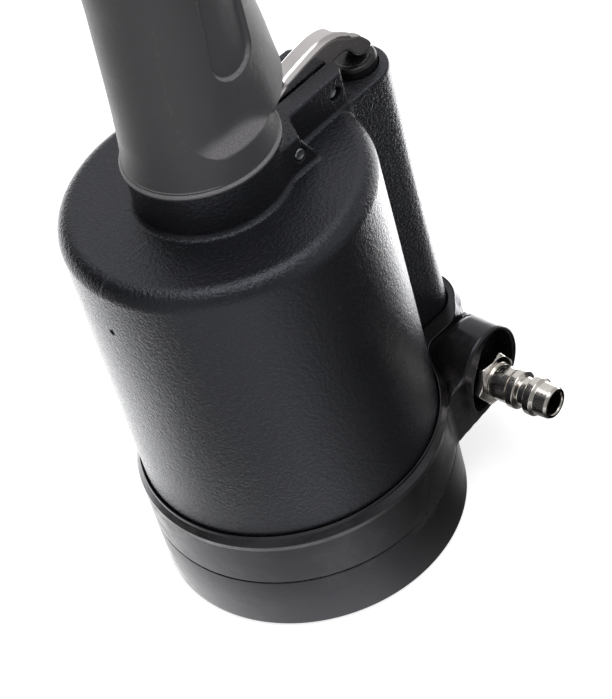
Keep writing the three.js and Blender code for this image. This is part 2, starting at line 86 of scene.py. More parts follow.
class Graph:
    """The emptied node tree of a material or world."""

    def __init__(self, owner):
        owner.use_nodes = True
        self.tree = owner.node_tree
        self.tree.nodes.clear()

    def add(self, kind, inputs=None, **settings):
        """Adds a node; inputs maps a socket's name or number to a value or a socket."""
        node = self.tree.nodes.new("ShaderNode" + kind)
        for key, value in settings.items():
            setattr(node, key, value)
        for key, value in (inputs or {}).items():
            if isinstance(value, bpy.types.NodeSocket):
                self.tree.links.new(value, node.inputs[key])
            else:
                node.inputs[key].default_value = value
        return node

    def math(self, operation, *values):
        if len(values) == 1:
            values += (0.0,)
        return self.add("Math", dict(enumerate(values)), operation=operation).outputs[0]

    def plus(self, first, second):
        return self.math("ADD", first, second)

    def minus(self, first, second):
        return self.math("SUBTRACT", first, second)

    def times(self, first, second):
        return self.math("MULTIPLY", first, second)

    def split(self, vector):
        return self.add("SeparateXYZ", {0: vector}).outputs

    def ramp(self, value, start, end, low=0.0, high=1.0, shape="SMOOTHSTEP"):
        """Maps start..end to low..high."""
        return self.add("MapRange", {"From Min": start, "From Max": end, "To Min": low,
                                     "To Max": high, "Value": value},
                        interpolation_type=shape).outputs[0]

    def compass(self, x, y):
        """Direction about Z as a share of a full turn, counted from +X."""
        share = self.math("DIVIDE", self.math("ARCTAN2", y, x), 2 * math.pi)
        return self.math("FRACT", self.plus(share, 1.0))

    def around(self, compass, values, top):
        """A closed curve through values spaced evenly around the compass; top is its scale."""
        node = self.add("FloatCurve", {"Value": compass})
        curve = node.mapping.curves[0]
        count = len(values)
        points = [(i / count, values[i % count] / top) for i in range(count + 1)]
        curve.points[0].location = points[0]
        curve.points[1].location = points[-1]
        for place, height in points[1:-1]:
            curve.points.new(place, height)
        for point in curve.points:
            point.handle_type = "AUTO_CLAMPED"
        node.mapping.update()
        return self.times(node.outputs[0], top)


class Finish(Graph):
    """A Principled material with textures laid out in object space, in metres."""

    SOCKETS = {"color": "Base Color", "rough": "Roughness", "metal": "Metallic",
               "normal": "Normal", "spec": "Specular IOR Level", "spec_tint": "Specular Tint"}

    def __init__(self, name):
        self.material = bpy.data.materials.new(name)
        super().__init__(self.material)
        self.coord = self.add("TexCoord").outputs["Object"]

    def math(self, operation, first, second=0.0):
        """As in Graph, with the idle third input at 0."""
        return super().math(operation, first, second, 0.0)

    def noise(self, scale, detail=2.0, rough=0.5, distortion=0.0, vector=None):
        return self.add("TexNoise", {"Scale": scale, "Detail": detail, "Roughness": rough,
                                     "Distortion": distortion,
                                     "Vector": vector or self.coord}).outputs["Fac"]

    def streaks(self, scale, turn=(0, 0, 0), **options):
        """Noise with its own scale on each axis, turned by angles in radians."""
        mapped = self.add("Mapping", {"Scale": scale, "Rotation": turn, "Vector": self.coord})
        return self.noise(1.0, vector=mapped.outputs[0], **options)

    def mix(self, share, first, second):
        return self.add("Mix", {0: share, 6: rgba(first), 7: rgba(second)},
                        data_type="RGBA").outputs[2]

    def tint(self, color, mask, share, tone):
        """Lays tone over color where mask is 1, at most by share."""
        return self.mix(self.times(mask, share), color, tone)

    def bump(self, height, distance, strength, base=None):
        inputs = {"Distance": distance, "Strength": strength, "Height": height}
        if base is not None:
            inputs["Normal"] = base
        return self.add("Bump", inputs).outputs[0]

    def edge(self, start, end):
        """1 on sharp outer edges, by pointiness."""
        return self.ramp(self.add("NewGeometry").outputs["Pointiness"], start, end)

    def shade(self, **inputs):
        sockets = {self.SOCKETS[key]: rgba(value) for key, value in inputs.items()}
        shader = self.add("BsdfPrincipled", sockets)
        self.add("OutputMaterial", {0: shader.outputs[0]})
        return self.material


# --------------------------------------------------------------------------
# Materials
# --------------------------------------------------------------------------

COOL_SPECULAR = (0.93, 0.95, 1.09)      # bluish highlights on the black pieces


def cast_black():
    mat = Finish("cast_black_coat")
    grain = mat.noise(scale=2600, rough=0.55)
    peel = mat.noise(scale=900, detail=1.0)
    cloud = mat.noise(scale=55)
    dust = mat.ramp(mat.noise(scale=1500, detail=1.0), start=0.70, end=0.78)
    cells = mat.add("TexVoronoi", {"Scale": 95, "Vector": mat.coord}).outputs["Distance"]
    pit = mat.ramp(cells, start=0.035, end=0.085, low=1.0, high=0.0)
    pick = mat.ramp(mat.noise(scale=70, detail=0.0), start=0.60, end=0.64)
    pit = mat.times(pit, pick)
    x, y, z = mat.split(mat.coord)
    # flash line of the mould close to the plane y = 0, on the side away from the valve housing
    line = mat.ramp(mat.math("ABSOLUTE", mat.plus(y, 0.0009)),
                    start=0.00012, end=0.00045, low=1.0, high=0.0)
    far = mat.ramp(x, start=-0.0245, end=-0.0265)
    top = mat.ramp(z, start=0.141, end=0.143)
    line = mat.times(mat.times(line, far), top)
    patches = mat.ramp(mat.noise(scale=420, detail=3.0, rough=0.6), start=0.42, end=0.62)
    wear = mat.times(mat.edge(start=0.54, end=0.62), patches)
    color = mat.mix(cloud, (0.0092, 0.0096, 0.0118), (0.0138, 0.0142, 0.0168))
    color = mat.tint(color, dust, share=0.25, tone=(0.06, 0.06, 0.062))
    color = mat.tint(color, wear, share=0.35, tone=(0.07, 0.07, 0.072))
    # roughness: a floor, with some from the grain and some from the clouds
    rough = mat.plus(mat.times(grain, 0.10), mat.times(cloud, 0.05))
    rough = mat.plus(rough, 0.19)
    normal = mat.bump(grain, distance=0.00018, strength=0.7)
    normal = mat.bump(peel, distance=0.00034, strength=0.62, base=normal)
    normal = mat.bump(mat.minus(1.0, pit), distance=0.00025, strength=0.7, base=normal)
    normal = mat.bump(line, distance=0.00018, strength=0.8, base=normal)
    return mat.shade(color=color, rough=rough, metal=0.0, normal=normal, spec=0.5,
                     spec_tint=COOL_SPECULAR)


def base_black():
    mat = Finish("base_black_gloss")
    cloud = mat.noise(scale=45, detail=3.0, rough=0.6, distortion=0.6)
    smear = mat.streaks(scale=(70, 70, 190), turn=(0.15, 0.3, 0.2),
                        detail=3.0, rough=0.6, distortion=1.2)
    fine = mat.noise(scale=420, detail=3.0, rough=0.65)
    hair = mat.ramp(mat.streaks(scale=(150, 150, 2600), turn=(0.5, -0.35, 0)),
                    start=0.68, end=0.76)
    micro = mat.noise(scale=2600, detail=1.0)
    dust = mat.ramp(mat.noise(scale=1500, detail=0.0), start=0.75, end=0.80)
    wipe = mat.ramp(mat.streaks(scale=(26, 26, 44), turn=(0.35, 0.2, 0.5),
                                detail=4.0, rough=0.62, distortion=0.9), start=0.50, end=0.66)
    color = mat.mix(cloud, (0.0068, 0.0062, 0.0066), (0.015, 0.0128, 0.0122))
    color = mat.tint(color, wipe, share=0.30, tone=(0.062, 0.056, 0.055))
    color = mat.tint(color, dust, share=0.2, tone=(0.08, 0.078, 0.075))
    color = mat.tint(color, mat.edge(start=0.55, end=0.64), share=0.3,
                     tone=(0.06, 0.058, 0.056))
    # roughness: a floor, then what each pattern adds to it
    rough = mat.plus(0.10, mat.times(mat.ramp(smear, start=0.35, end=0.70), 0.17))
    for pattern, amount in ((wipe, 0.12), (fine, 0.05), (hair, 0.05)):
        rough = mat.plus(rough, mat.times(pattern, amount))
    normal = mat.bump(mat.noise(scale=130, detail=1.0), distance=0.0005, strength=0.20)
    normal = mat.bump(fine, distance=0.00010, strength=0.20, base=normal)
    normal = mat.bump(micro, distance=0.00005, strength=0.25, base=normal)
    return mat.shade(color=color, rough=rough, metal=0.0, normal=normal, spec=0.5,
                     spec_tint=COOL_SPECULAR)


def grip_grey():
    mat = Finish("grip_grey_moulding")
    grain = mat.noise(scale=3400, rough=0.6)
    soft = mat.noise(scale=700)
    cloud = mat.noise(scale=30, detail=3.0, rough=0.55)
    rub = mat.ramp(mat.streaks(scale=(90, 90, 420), turn=(0.1, 0.2, 0)), start=0.55, end=0.75)
    color = mat.mix(cloud, (0.066, 0.063, 0.069), (0.080, 0.077, 0.083))
    color = mat.tint(color, grain, share=0.3, tone=(0.11, 0.108, 0.113))
    color = mat.tint(color, mat.edge(start=0.53, end=0.62), share=0.3,
                     tone=(0.13, 0.13, 0.132))
    # painted highlight where the surface looks upward: the ledge, panel ends and foot bead are
    # lightened to stand in for overhead light
    facing = mat.split(mat.add("TexCoord").outputs["Normal"])
    upward = mat.ramp(facing[2], start=0.18, end=0.50)
    # the painted highlight is speckled by the grain, never below 0.45
    highlight_speck = mat.plus(0.45, mat.times(mat.ramp(grain, start=0.40, end=0.62), 0.55))
    # lays the painted highlight over the grey on upward-looking surfaces
    color = mat.tint(color, upward, share=highlight_speck, tone=(0.30, 0.29, 0.30))
    # roughness: the grain adds to the floor, rubbing takes away
    rough = mat.plus(0.40, mat.times(grain, 0.16))
    rough = mat.minus(rough, mat.times(rub, 0.06))
    normal = mat.bump(grain, distance=0.00016, strength=0.7)
    normal = mat.bump(soft, distance=0.0003, strength=0.3, base=normal)
    return mat.shade(color=color, rough=rough, metal=0.0, normal=normal, spec=0.5)


def plated(name, color, rough):
    """Bright plating with fine hairlines and small dull spots."""
    mat = Finish(name)
    wave = mat.noise(scale=90)
    hair = mat.ramp(mat.streaks(scale=(260, 6200, 2600), turn=(0.0, 0.35, 0.1), detail=1.0),
                    start=0.60, end=0.75)
    spots = mat.ramp(mat.noise(scale=900, rough=0.6), start=0.62, end=0.72)
    warmer = tuple(c * k for c, k in zip(color, (0.98, 0.955, 0.93)))
    tint = mat.mix(wave, color, warmer)
    tint = mat.tint(tint, spots, share=0.10, tone=(0.45, 0.43, 0.41))
    # hairlines and spots are a little rougher
    rough = mat.plus(rough, mat.times(hair, 0.06))
    rough = mat.plus(rough, mat.times(spots, 0.05))
    normal = mat.bump(wave, distance=0.0006, strength=0.10)
    normal = mat.bump(hair, distance=0.00002, strength=0.35, base=normal)
    return mat.shade(color=tint, rough=rough, metal=1.0, normal=normal)


def turned(name, color, rough, rings):
    """Turned or drawn metal; rings is how dense the tool marks are along x, y and z."""
    mat = Finish(name)
    marks = mat.streaks(scale=scaled(rings, 60.0), rough=0.6)
    cloud = mat.noise(scale=120)
    stain = mat.ramp(mat.noise(scale=260, detail=3.0, rough=0.6), start=0.52, end=0.72)
    tint = mat.mix(cloud, color, scaled(color, 0.8))
    tint = mat.tint(tint, stain, share=0.18, tone=scaled(color, 0.5))
    # the tool marks swing the roughness about the given value
    rough = mat.plus(rough - 0.06, mat.times(marks, 0.16))
    normal = mat.bump(marks, distance=0.00003, strength=0.6)
    return mat.shade(color=tint, rough=rough, metal=1.0, normal=normal)


def rubber(name, color, rough, grain):
    """Black rubber with a pale bloom; grain is the noise scale."""
    mat = Finish(name)
    fine = mat.noise(scale=grain, rough=0.6)
    cloud = mat.noise(scale=60)
    bloom = mat.ramp(mat.noise(scale=35, detail=3.0, rough=0.6), start=0.5, end=0.75)
    tint = mat.mix(cloud, color, scaled(color, 1.5))
    tint = mat.tint(tint, bloom, share=0.12, tone=(0.12, 0.12, 0.12))
    # the grain adds to the roughness
    rough = mat.plus(rough, mat.times(fine, 0.15))
    normal = mat.bump(fine, distance=0.00012, strength=0.4)
    return mat.shade(color=tint, rough=rough, metal=0.0, normal=normal, spec=0.35)


def button_plastic():
    mat = Finish("button_black_plastic")
    fine = mat.noise(scale=2400, detail=1.0)
    scuff = mat.ramp(mat.streaks(scale=(900, 2600, 900), turn=(0, 0, 0.3)),
                     start=0.58, end=0.72)
    color = mat.tint((0.008, 0.008, 0.0095), scuff, share=0.25, tone=(0.04, 0.04, 0.042))
    # scuffs add to the roughness
    rough = mat.plus(0.26, mat.times(scuff, 0.15))
    normal = mat.bump(fine, distance=0.00008, strength=0.3)
    return mat.shade(color=color, rough=rough, metal=0.0, normal=normal)


# Keyed by slot name.
FINISHES = {
    "cast_black": cast_black(),
    "base_black": base_black(),
    "grip_grey": grip_grey(),
    "chrome": plated("chrome_plate", color=(0.70, 0.675, 0.68), rough=0.06),
    "nickel": plated("nickel_plate", color=(0.74, 0.71, 0.67), rough=0.10),
    "machined_aluminium": turned("machined_aluminium", color=(0.62, 0.63, 0.64), rough=0.28,
                                 rings=(1, 1, 90)),
    "turned_steel": turned("turned_steel", color=(0.52, 0.53, 0.54), rough=0.24,
                           rings=(2, 2, 90)),
    "spring_steel": turned("spring_steel", color=(0.36, 0.37, 0.39), rough=0.30,
                           rings=(20, 20, 20)),
    "blackened_steel": turned("blackened_steel", color=(0.055, 0.055, 0.06), rough=0.36,
                              rings=(2, 2, 60)),
    "brass": turned("turned_brass", color=(0.66, 0.47, 0.22), rough=0.24, rings=(2, 2, 80)),
    "copper": turned("soft_copper", color=(0.70, 0.36, 0.22), rough=0.32, rings=(40, 2, 40)),
    "black_rubber": rubber("foot_rubber", color=(0.016, 0.016, 0.016), rough=0.62, grain=2200),
    "seal_rubber": rubber("seal_rubber", color=(0.010, 0.010, 0.010), rough=0.42, grain=1500),
    "button_plastic": button_plastic(),
}

# --------------------------------------------------------------------------
# Mesh building
# --------------------------------------------------------------------------


def add_mesh(name, verts, groups, node, finish, body="housing", normals=None):
    """Adds a piece that rides body and replaces the CAD piece node, if there is one.
    verts are in mm; groups are face arrays, each with one number of corners."""
    mesh = bpy.data.meshes.new(name)
    verts = np.asarray(verts, np.float64) * MM
    mesh.vertices.add(len(verts))
    mesh.vertices.foreach_set("co", verts.astype(np.float32).ravel())
    loops = np.concatenate([group.ravel() for group in groups]).astype(np.int32)
    counts = np.concatenate([np.full(len(group), group.shape[1], np.int32) for group in groups])
    starts = np.concatenate([[0], np.cumsum(counts)[:-1]]).astype(np.int32)
    mesh.loops.add(len(loops))
    mesh.loops.foreach_set("vertex_index", loops)
    mesh.polygons.add(len(counts))
    mesh.polygons.foreach_set("loop_start", starts)
    mesh.polygons.foreach_set("loop_total", counts)
    mesh.polygons.foreach_set("use_smooth", np.full(len(counts), True))
    mesh.update(calc_edges=True)
    mesh.validate(clean_customdata=False)
    if normals is not None:
        mesh.normals_split_custom_set_from_vertices(np.asarray(normals, np.float32))
    piece = bpy.data.objects.new(name, mesh)
    scene.collection.objects.link(piece)
    mesh.materials.append(FINISHES[finish])
    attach(piece, body)
    if node:
        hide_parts(node)
    return piece


def face_outward(verts, groups):
    """Turns all faces over if they enclose a negative volume."""
    total = 0.0
    for group in groups:
        first = verts[group[:, 0]]
        for k in range(1, group.shape[1] - 1):
            across = np.cross(verts[group[:, k]], verts[group[:, k + 1]])
            total += float(np.einsum("ij,ij->i", first, across).sum())
    return [group[:, ::-1] for group in groups] if total < 0 else groups


def loft(rows, ring=True):
    """Joins closed loops of points in order; ring joins the last to the first.
    A row of one point is a pole that closes an end."""
    rows = [np.asarray(row, float).reshape(-1, 3) for row in rows]
    starts = np.cumsum([0] + [len(row) for row in rows])
    index = [start + np.arange(len(row)) for start, row in zip(starts, rows)]
    quads, tris = [], []
    for here, there in zip(index, index[1:] + index[:1] if ring else index[1:]):
        if len(here) == 1:
            pole = np.full(len(there), here[0])
            tris.append(np.stack([pole, there, np.roll(there, -1)], 1))
        elif len(there) == 1:
            pole = np.full(len(here), there[0])
            tris.append(np.stack([here, pole, np.roll(here, -1)], 1))
        else:
            quads.append(np.stack([here, there, np.roll(there, -1), np.roll(here, -1)], 1))
    verts = np.concatenate(rows)
    groups = [np.concatenate(faces) for faces in (quads, tris) if faces]
    return verts, face_outward(verts, groups)


def level_row(x, y, z):
    return np.stack([x, y, np.full(len(x), float(z))], 1)


def round_profile(points, radius, steps=4, closed=True):
    """Rounds the corners of (x, y[, radius]) points. Radius 0 keeps a corner."""
    places = [np.array(point[:2], float) for point in points]
    radii = [point[2] if len(point) > 2 else radius for point in points]
    rounded = []
    count = len(places)
    for i, (corner, wanted) in enumerate(zip(places, radii)):
        if not closed and i in (0, count - 1):
            rounded.append(corner)
            continue
        back, ahead = places[i - 1] - corner, places[(i + 1) % count] - corner
        back_len, ahead_len = np.linalg.norm(back), np.linalg.norm(ahead)
        back, ahead = back / back_len, ahead / ahead_len
        angle = math.acos(float(np.clip(back @ ahead, -1, 1)))
        if wanted <= 0 or angle > 3.05 or angle < 0.05:
            rounded.append(corner)
            continue
        trim = min(wanted / math.tan(angle / 2), 0.45 * back_len, 0.45 * ahead_len)
        fitted = trim * math.tan(angle / 2)
        bisector = (back + ahead) / np.linalg.norm(back + ahead)
        centre = corner + bisector * (fitted / math.sin(angle / 2))
        start = math.atan2(*(corner + back * trim - centre)[::-1])
        end = math.atan2(*(corner + ahead * trim - centre)[::-1])
        sweep = (end - start + math.pi) % (2 * math.pi) - math.pi
        for k in range(steps + 1):
            turn_to = start + sweep * k / steps
            rounded.append(centre + fitted * np.array([math.cos(turn_to), math.sin(turn_to)]))
    return rounded


def densify(points, longest):
    """Splits the sides of a closed outline so that none is longer than longest."""
    dense = []
    for start, end in zip(points, points[1:] + points[:1]):
        parts = max(1, int(math.ceil(np.linalg.norm(end - start) / longest)))
        dense += [start + (end - start) * j / parts for j in range(parts)]
    return dense


def full_turn(count):
    return np.linspace(0, 2 * np.pi, count, endpoint=False)


def turn(name, node, finish, profile, seg=96, bevel=0.25, x=0.0, body="housing", place=None,
         radial=None, steps=4, longest=None):
    """Adds a turned piece on an upright axis at x. The profile of (r, z[, bevel]) closes on
    itself, or starts and ends on the axis. radial(angle, r, z) changes the radius around the
    axis; place moves the finished points."""
    on_axis = profile[0][0] < 1e-6 and profile[-1][0] < 1e-6
    points = round_profile(profile, bevel, steps, closed=not on_axis)
    if longest:
        points = densify(points, longest)
    angle = full_turn(seg)
    rows = []
    for r, z in points:
        if r < 1e-6:
            rows.append(np.array([[x, 0.0, z]]))
            continue
        radius = np.full(seg, float(r)) if radial is None else radial(angle, r, z)
        rows.append(level_row(x + radius * np.cos(angle), radius * np.sin(angle), z))
    verts, groups = loft(rows, ring=not on_axis)
    if place is not None:
        verts = place(verts)
        groups = face_outward(verts, groups)
    return add_mesh(name, verts, groups, node, finish, body)


def round_section(r, z, radius, count):
    """Profile of a ring of round cord."""
    return [(r + radius * math.cos(t), z + radius * math.sin(t), 0) for t in full_turn(count)]


def hexagon(half_flats, plain_below, limit):
    """Radial function of a hexagon; limit(z) cuts its corners for the chamfers.
    Radii under plain_below stay round."""
    def radial(angle, r, z):
        if r < plain_below:
            return np.full(angle.shape, r)
        from_flat = angle % (math.pi / 3) - math.pi / 6
        return np.minimum(half_flats / np.cos(from_flat), limit(z))
    return radial


# --------------------------------------------------------------------------
# Distance fields, in mm, negative inside
# --------------------------------------------------------------------------


def smooth(t):
    t = np.clip(t, 0, 1)
    return t * t * (3 - 2 * t)


def meet(*fields):
    """The part inside every field, with sharp edges."""
    return reduce(np.maximum, fields)


def cut(shape, tool):
    return np.maximum(shape, -tool)


def round_union(first, second, radius):
    near_first = np.maximum(radius - first, 0)
    near_second = np.maximum(radius - second, 0)
    return (np.maximum(radius, np.minimum(first, second))
            - np.sqrt(near_first * near_first + near_second * near_second))


def round_meet(first, second, radius):
    near_first = np.maximum(radius + first, 0)
    near_second = np.maximum(radius + second, 0)
    return (np.minimum(-radius, np.maximum(first, second))
            + np.sqrt(near_first * near_first + near_second * near_second))


def round_cut(shape, tool, radius):
    return round_meet(shape, -tool, radius)


def polygon_distance(x, y, polygon):
    polygon = np.asarray(polygon, float)
    nearest = np.full(x.shape, 1e18)
    inside = np.zeros(x.shape, bool)
    for (ax, ay), (bx, by) in zip(polygon, np.roll(polygon, -1, 0)):
        side_x, side_y = bx - ax, by - ay
        from_x, from_y = x - ax, y - ay
        along = np.clip((from_x * side_x + from_y * side_y)
                        / (side_x * side_x + side_y * side_y), 0, 1)
        off_x, off_y = from_x - side_x * along, from_y - side_y * along
        nearest = np.minimum(nearest, off_x * off_x + off_y * off_y)
        above, below = y >= ay, y < by
        left = side_x * from_y > side_y * from_x
        inside ^= (above & below & left) | (~above & ~below & ~left)
    nearest = np.sqrt(nearest)
    return np.where(inside, -nearest, nearest)


def arm_plan(x, y, radius):
    """Plan of an arm along +X with a round end about ARM_X."""
    return np.where(x > ARM_X, np.hypot(x - ARM_X, y) - radius, np.abs(y) - radius)


PROBE = 0.04        # step for measuring slopes


def differences(field, points):
    """Central differences of the field over PROBE each way."""
    slopes = np.empty_like(points)
    for k in range(3):
        offset = np.zeros(3)
        offset[k] = PROBE
        slopes[:, k] = field(points + offset) - field(points - offset)
    return slopes


def sample_grid(field, low, high, pitch):
    """Field values on a grid. Blocks far from the surface only get the right sign."""
    block = 4
    blocks = np.ceil((high - low) / (pitch * block)).astype(int)
    axes = [low[k] + (np.arange(blocks[k]) * block + block / 2 - 0.5) * pitch
            for k in range(3)]
    centres = np.stack([grid.ravel() for grid in np.meshgrid(*axes, indexing="ij")], 1)
    coarse = field(centres)
    near = np.abs(coarse) < pitch * block * 1.35
    values = np.where(coarse < 0, -1e3, 1e3).reshape(blocks).astype(np.float32)
    for axis in range(3):
        values = np.repeat(values, block, axis)
    offsets = np.stack(np.meshgrid(*[np.arange(block)] * 3, indexing="ij"), -1).reshape(-1, 3)
    base = np.stack(np.unravel_index(np.nonzero(near)[0], tuple(blocks)), 1) * block
    index = (base[:, None, :] + offsets[None]).reshape(-1, 3)
    points = low + index * pitch
    samples = np.empty(len(points), np.float32)
    chunk = 400000      # points at a time, to spare memory
    for start in range(0, len(points), chunk):
        samples[start:start + chunk] = field(points[start:start + chunk])
    values[tuple(index.T)] = samples
    return values


def pull_onto(field, verts, pitch, steps):
    """Moves points down the slope to the surface, less than a cell from their start."""
    start = verts.copy()
    for _ in range(steps):
        distance = field(verts)
        slope = differences(field, verts) / (2 * PROBE)
        steep = np.maximum((slope * slope).sum(1), 0.25)
        step = (distance / steep)[:, None] * slope
        length = np.linalg.norm(step, axis=1, keepdims=True)
        step *= np.minimum(1, 0.4 * pitch / np.maximum(length, 1e-9))
        verts = verts - step
        moved = verts - start
        length = np.linalg.norm(moved, axis=1, keepdims=True)
        verts = start + moved * np.minimum(1, 0.8 * pitch / np.maximum(length, 1e-9))
    return verts


def surface(field, low, high, pitch, steps):
    """Closed mesh of field = 0 inside a box, by surface nets; also returns its normals."""
    low, high = np.asarray(low, float), np.asarray(high, float)
    values = sample_grid(field, low, high, pitch)
    inside = values < 0
    size = np.array(values.shape)
    corners = np.zeros(tuple(size - 1), np.int8)
    for dx, dy, dz in np.ndindex(2, 2, 2):
        corners += inside[dx:size[0] - 1 + dx, dy:size[1] - 1 + dy, dz:size[2] - 1 + dz]
    cells = np.stack(np.nonzero((corners > 0) & (corners < 8)), 1)
    ids = np.full(corners.shape, -1, np.int32)
    ids[tuple(cells.T)] = np.arange(len(cells))

    # each cell's point is the mean of the crossings on its edges
    total = np.zeros((len(cells), 3))
    hits = np.zeros(len(cells))
    for axis in range(3):
        unit = np.eye(3, dtype=int)[axis]
        for p, q in np.ndindex(2, 2):
            corner = np.insert([p, q], axis, 0)
            near = values[tuple((cells + corner).T)].astype(float)
            far = values[tuple((cells + corner + unit).T)].astype(float)
            hit = (near < 0) != (far < 0)
            share = near[hit] / (near[hit] - far[hit])
            total[hit] += corner + share[:, None] * unit
            hits[hit] += 1
    verts = low + (cells + total / hits[:, None]) * pitch
    verts = pull_onto(field, verts, pitch, steps)

    # one quad around every grid edge that crosses the surface
    quads = []
    for axis in range(3):
        across, other = [k for k in range(3) if k != axis]
        lower, upper = [slice(None)] * 3, [slice(None)] * 3
        lower[axis], upper[axis] = slice(0, -1), slice(1, None)
        edges = np.stack(np.nonzero(inside[tuple(lower)] != inside[tuple(upper)]), 1)
        edges = edges[(edges[:, across] > 0) & (edges[:, other] > 0)
                      & (edges[:, across] < size[across] - 1)
                      & (edges[:, other] < size[other] - 1)]
        from_inside = inside[tuple(edges.T)]
        loop = []
        for da, db in ((-1, -1), (0, -1), (0, 0), (-1, 0)):
            cell = edges.copy()
            cell[:, across] += da
            cell[:, other] += db
            loop.append(ids[tuple(cell.T)])
        loop = np.stack(loop, 1)
        keep = from_inside if axis != 1 else ~from_inside
        quads.append(np.where(keep[:, None], loop, loop[:, ::-1]))
    normals = differences(field, verts)
    normals /= np.maximum(np.linalg.norm(normals, axis=1, keepdims=True), 1e-12)
    return verts, face_outward(verts, [np.concatenate(quads)]), normals


def add_solid(name, node, finish, field, low, high, pitch, body="housing", steps=3):
    verts, groups, normals = surface(field, low, high, pitch, steps)
    add_mesh(name, verts, groups, node, finish, body, normals)


# --------------------------------------------------------------------------
# Cylinder casting
# --------------------------------------------------------------------------

# plan of one lever cheek: x, distance from the plane y = 0, corner radius
CHEEK = round_profile([
    (8, LEVER_GAP, 0), (51.0, LEVER_GAP, 0.7), (50.8, 9.4, 1.4), (48.9, 11.7, 1.6),
    (25.3, 12.0, 1.2), (20.5, CHEEK_SIDE, 1.0), (8, CHEEK_SIDE, 0),
], 0, 5)
# side view of the gusset outside each cheek: x, z
GUSSET = [(12, 138), (26.1, 138), (25.6, 149.0), (24.6, 151.6), (21.2, 158.0), (12, 158.0)]
ARM_R = 12.84
ARM_SIDE = 12.35              # half width over the flats of the arm
COLLAR_R, COLLAR_TOP_Z = 24.4, 162.9
CHEEK_TOP_Z = 160.2
AIR_BORE_R, AIR_BORE_TOP_Z = 45.0, 139.0
CASTING_FOOT_Z = 8.0


def casting(points):
    x, y, z = points.T
    side = np.abs(y)
    rho = np.hypot(x, y)
    wall = rho - CASTING_R
    shape = round_meet(wall, z - CASTING_TOP_Z, 6.0)
    shape = round_union(shape, np.maximum(rho - COLLAR_R, z - COLLAR_TOP_Z), 1.9)
    # valve housing: an upright arm on the +X side, filleted to the wall
    plan = round_meet(arm_plan(x, y, ARM_R), side - ARM_SIDE, 0.9)
    plan = np.maximum(plan, 20 - x)
    arm = np.maximum(round_meet(plan, z - CASTING_TOP_Z, 0.8), 26.6 - z)
    shape = np.minimum(shape, arm)
    fillet = np.maximum(round_union(wall, plan, 2.2), 30 - z)
    shape = np.minimum(shape, round_meet(fillet, z - 140.5, 1.5))
    # cheeks and gussets on both sides of the lever
    cheek = round_meet(polygon_distance(x, side, CHEEK), z - CHEEK_TOP_Z, 0.9)
    cheek = np.maximum(cheek, 140 - z)
    gusset_width = np.maximum(side - CHEEK_SIDE, 9.8 - side)
    gusset = round_meet(polygon_distance(x, z, GUSSET), gusset_width, 0.7)
    shape = round_union(shape, np.minimum(cheek, gusset), 1.5)
    # lever slot, barrel hole, valve bore and pin holes
    shape = round_cut(shape, meet(15.7 - x, side - LEVER_GAP, 148.1 - z), 0.35)
    shape = cut(shape, np.maximum(rho - SLEEVE_BORE_R, 130 - z))
    shape = round_cut(shape, np.maximum(np.hypot(x - VALVE_X, y) - 8.0, 128 - z), 0.2)
    for pin_x, pin_z in ((PIVOT_X, PIVOT_Z), (STOP_X, STOP_Z)):
        shape = round_cut(shape, np.hypot(x - pin_x, z - pin_z) - PIN_HOLE_R, 0.25)
    # air bore, the groove for the retaining ring and the open foot
    shape = cut(shape, round_meet(rho - AIR_BORE_R, z - AIR_BORE_TOP_Z, 1.5))
    shape = cut(shape, np.maximum(rho - 46.6, np.abs(z - 10.5) - 1.1))
    shape = np.maximum(shape, CASTING_FOOT_Z - z)
    # vent hole through the wall on the -X side
    vent = np.maximum(np.hypot(y - 0.6, z - 127.2) - 0.95, x + 40)
    return round_cut(shape, vent, 0.25)


add_solid("cylinder_casting", "cylinder_body", "cast_black", casting,
          low=(-52, -52, 5.5), high=(76.5, 52, 165), pitch=0.62)

# --------------------------------------------------------------------------
# Base ring with socket and inlet boss
# --------------------------------------------------------------------------

# The boss has its own frame: across, up (z) and out of its face.
BOSS_TURN = math.radians(-85.4)
BOSS_OUT = np.array([math.cos(BOSS_TURN), math.sin(BOSS_TURN), 0.0])
BOSS_ACROSS = np.array([-math.sin(BOSS_TURN), math.cos(BOSS_TURN), 0.0])
BOSS_Z = 36.4
BOSS_CENTRE = BOSS_OUT * 43.04 + BOSS_ACROSS * 54.5 + np.array([0, 0, BOSS_Z])
PLUG_ACROSS, PLUG_UP = -0.5, -4.1       # plug axis from the boss centre

# section of the ring wall: distance outside the plan outline, z
RING_WALL = [(-14, RING_FOOT_Z), (-0.25, RING_FOOT_Z), (0.0, 21.85), (0.0, 38.7), (-0.5, 39.2),
             (-14, 39.2)]
# outline of the pocket in the boss face: across, up
POCKET = [
    (1.0, 11.8), (-2.2, 9.8), (-5.3, 6.0), (-8.4, 1.4), (-10.7, -4.1), (-10.9, -8.4),
    (-10.3, -11.4), (-8.6, -13.3), (-3.8, -13.6), (3.6, -13.1), (8.4, -10.6), (11.7, -6.0),
    (12.9, -0.3), (12.4, 4.5), (10.6, 8.4), (7.7, 11.1), (4.2, 12.3),
]
# section of the lip: distance outside the plan outline, z, corner radius
LIP = round_profile([
    (0.02, 37.6, 0), (0.02, 39.35, 0.12), (-1.42, 41.45, 0.15), (-1.5, 42.5, 0.14),
    (-1.95, 42.6, 0.16), (-2.0, 37.6, 0),
], 0.1, 4)


def ring_outline(x, y):
    """Distance outside the plan of the ring: a circle, the socket for the valve housing and
    the socket's flare on its -Y side."""
    socket = np.maximum(arm_plan(x, y, 17.3), 30 - x)
    flare_side = meet(x - 60, -20.5 - y, y, 30 - x)
    flare = np.minimum(np.hypot(x - 60, y + 11.5) - 9.0, flare_side)
    circle = np.hypot(x, y) - BASE_R
    return round_union(round_union(circle, socket, 3.0), flare, 3.0)


def lip_lift(x):
    """The top of the ring rises toward the socket."""
    return 2.1 * smooth((x - 43.5) / 8.0)


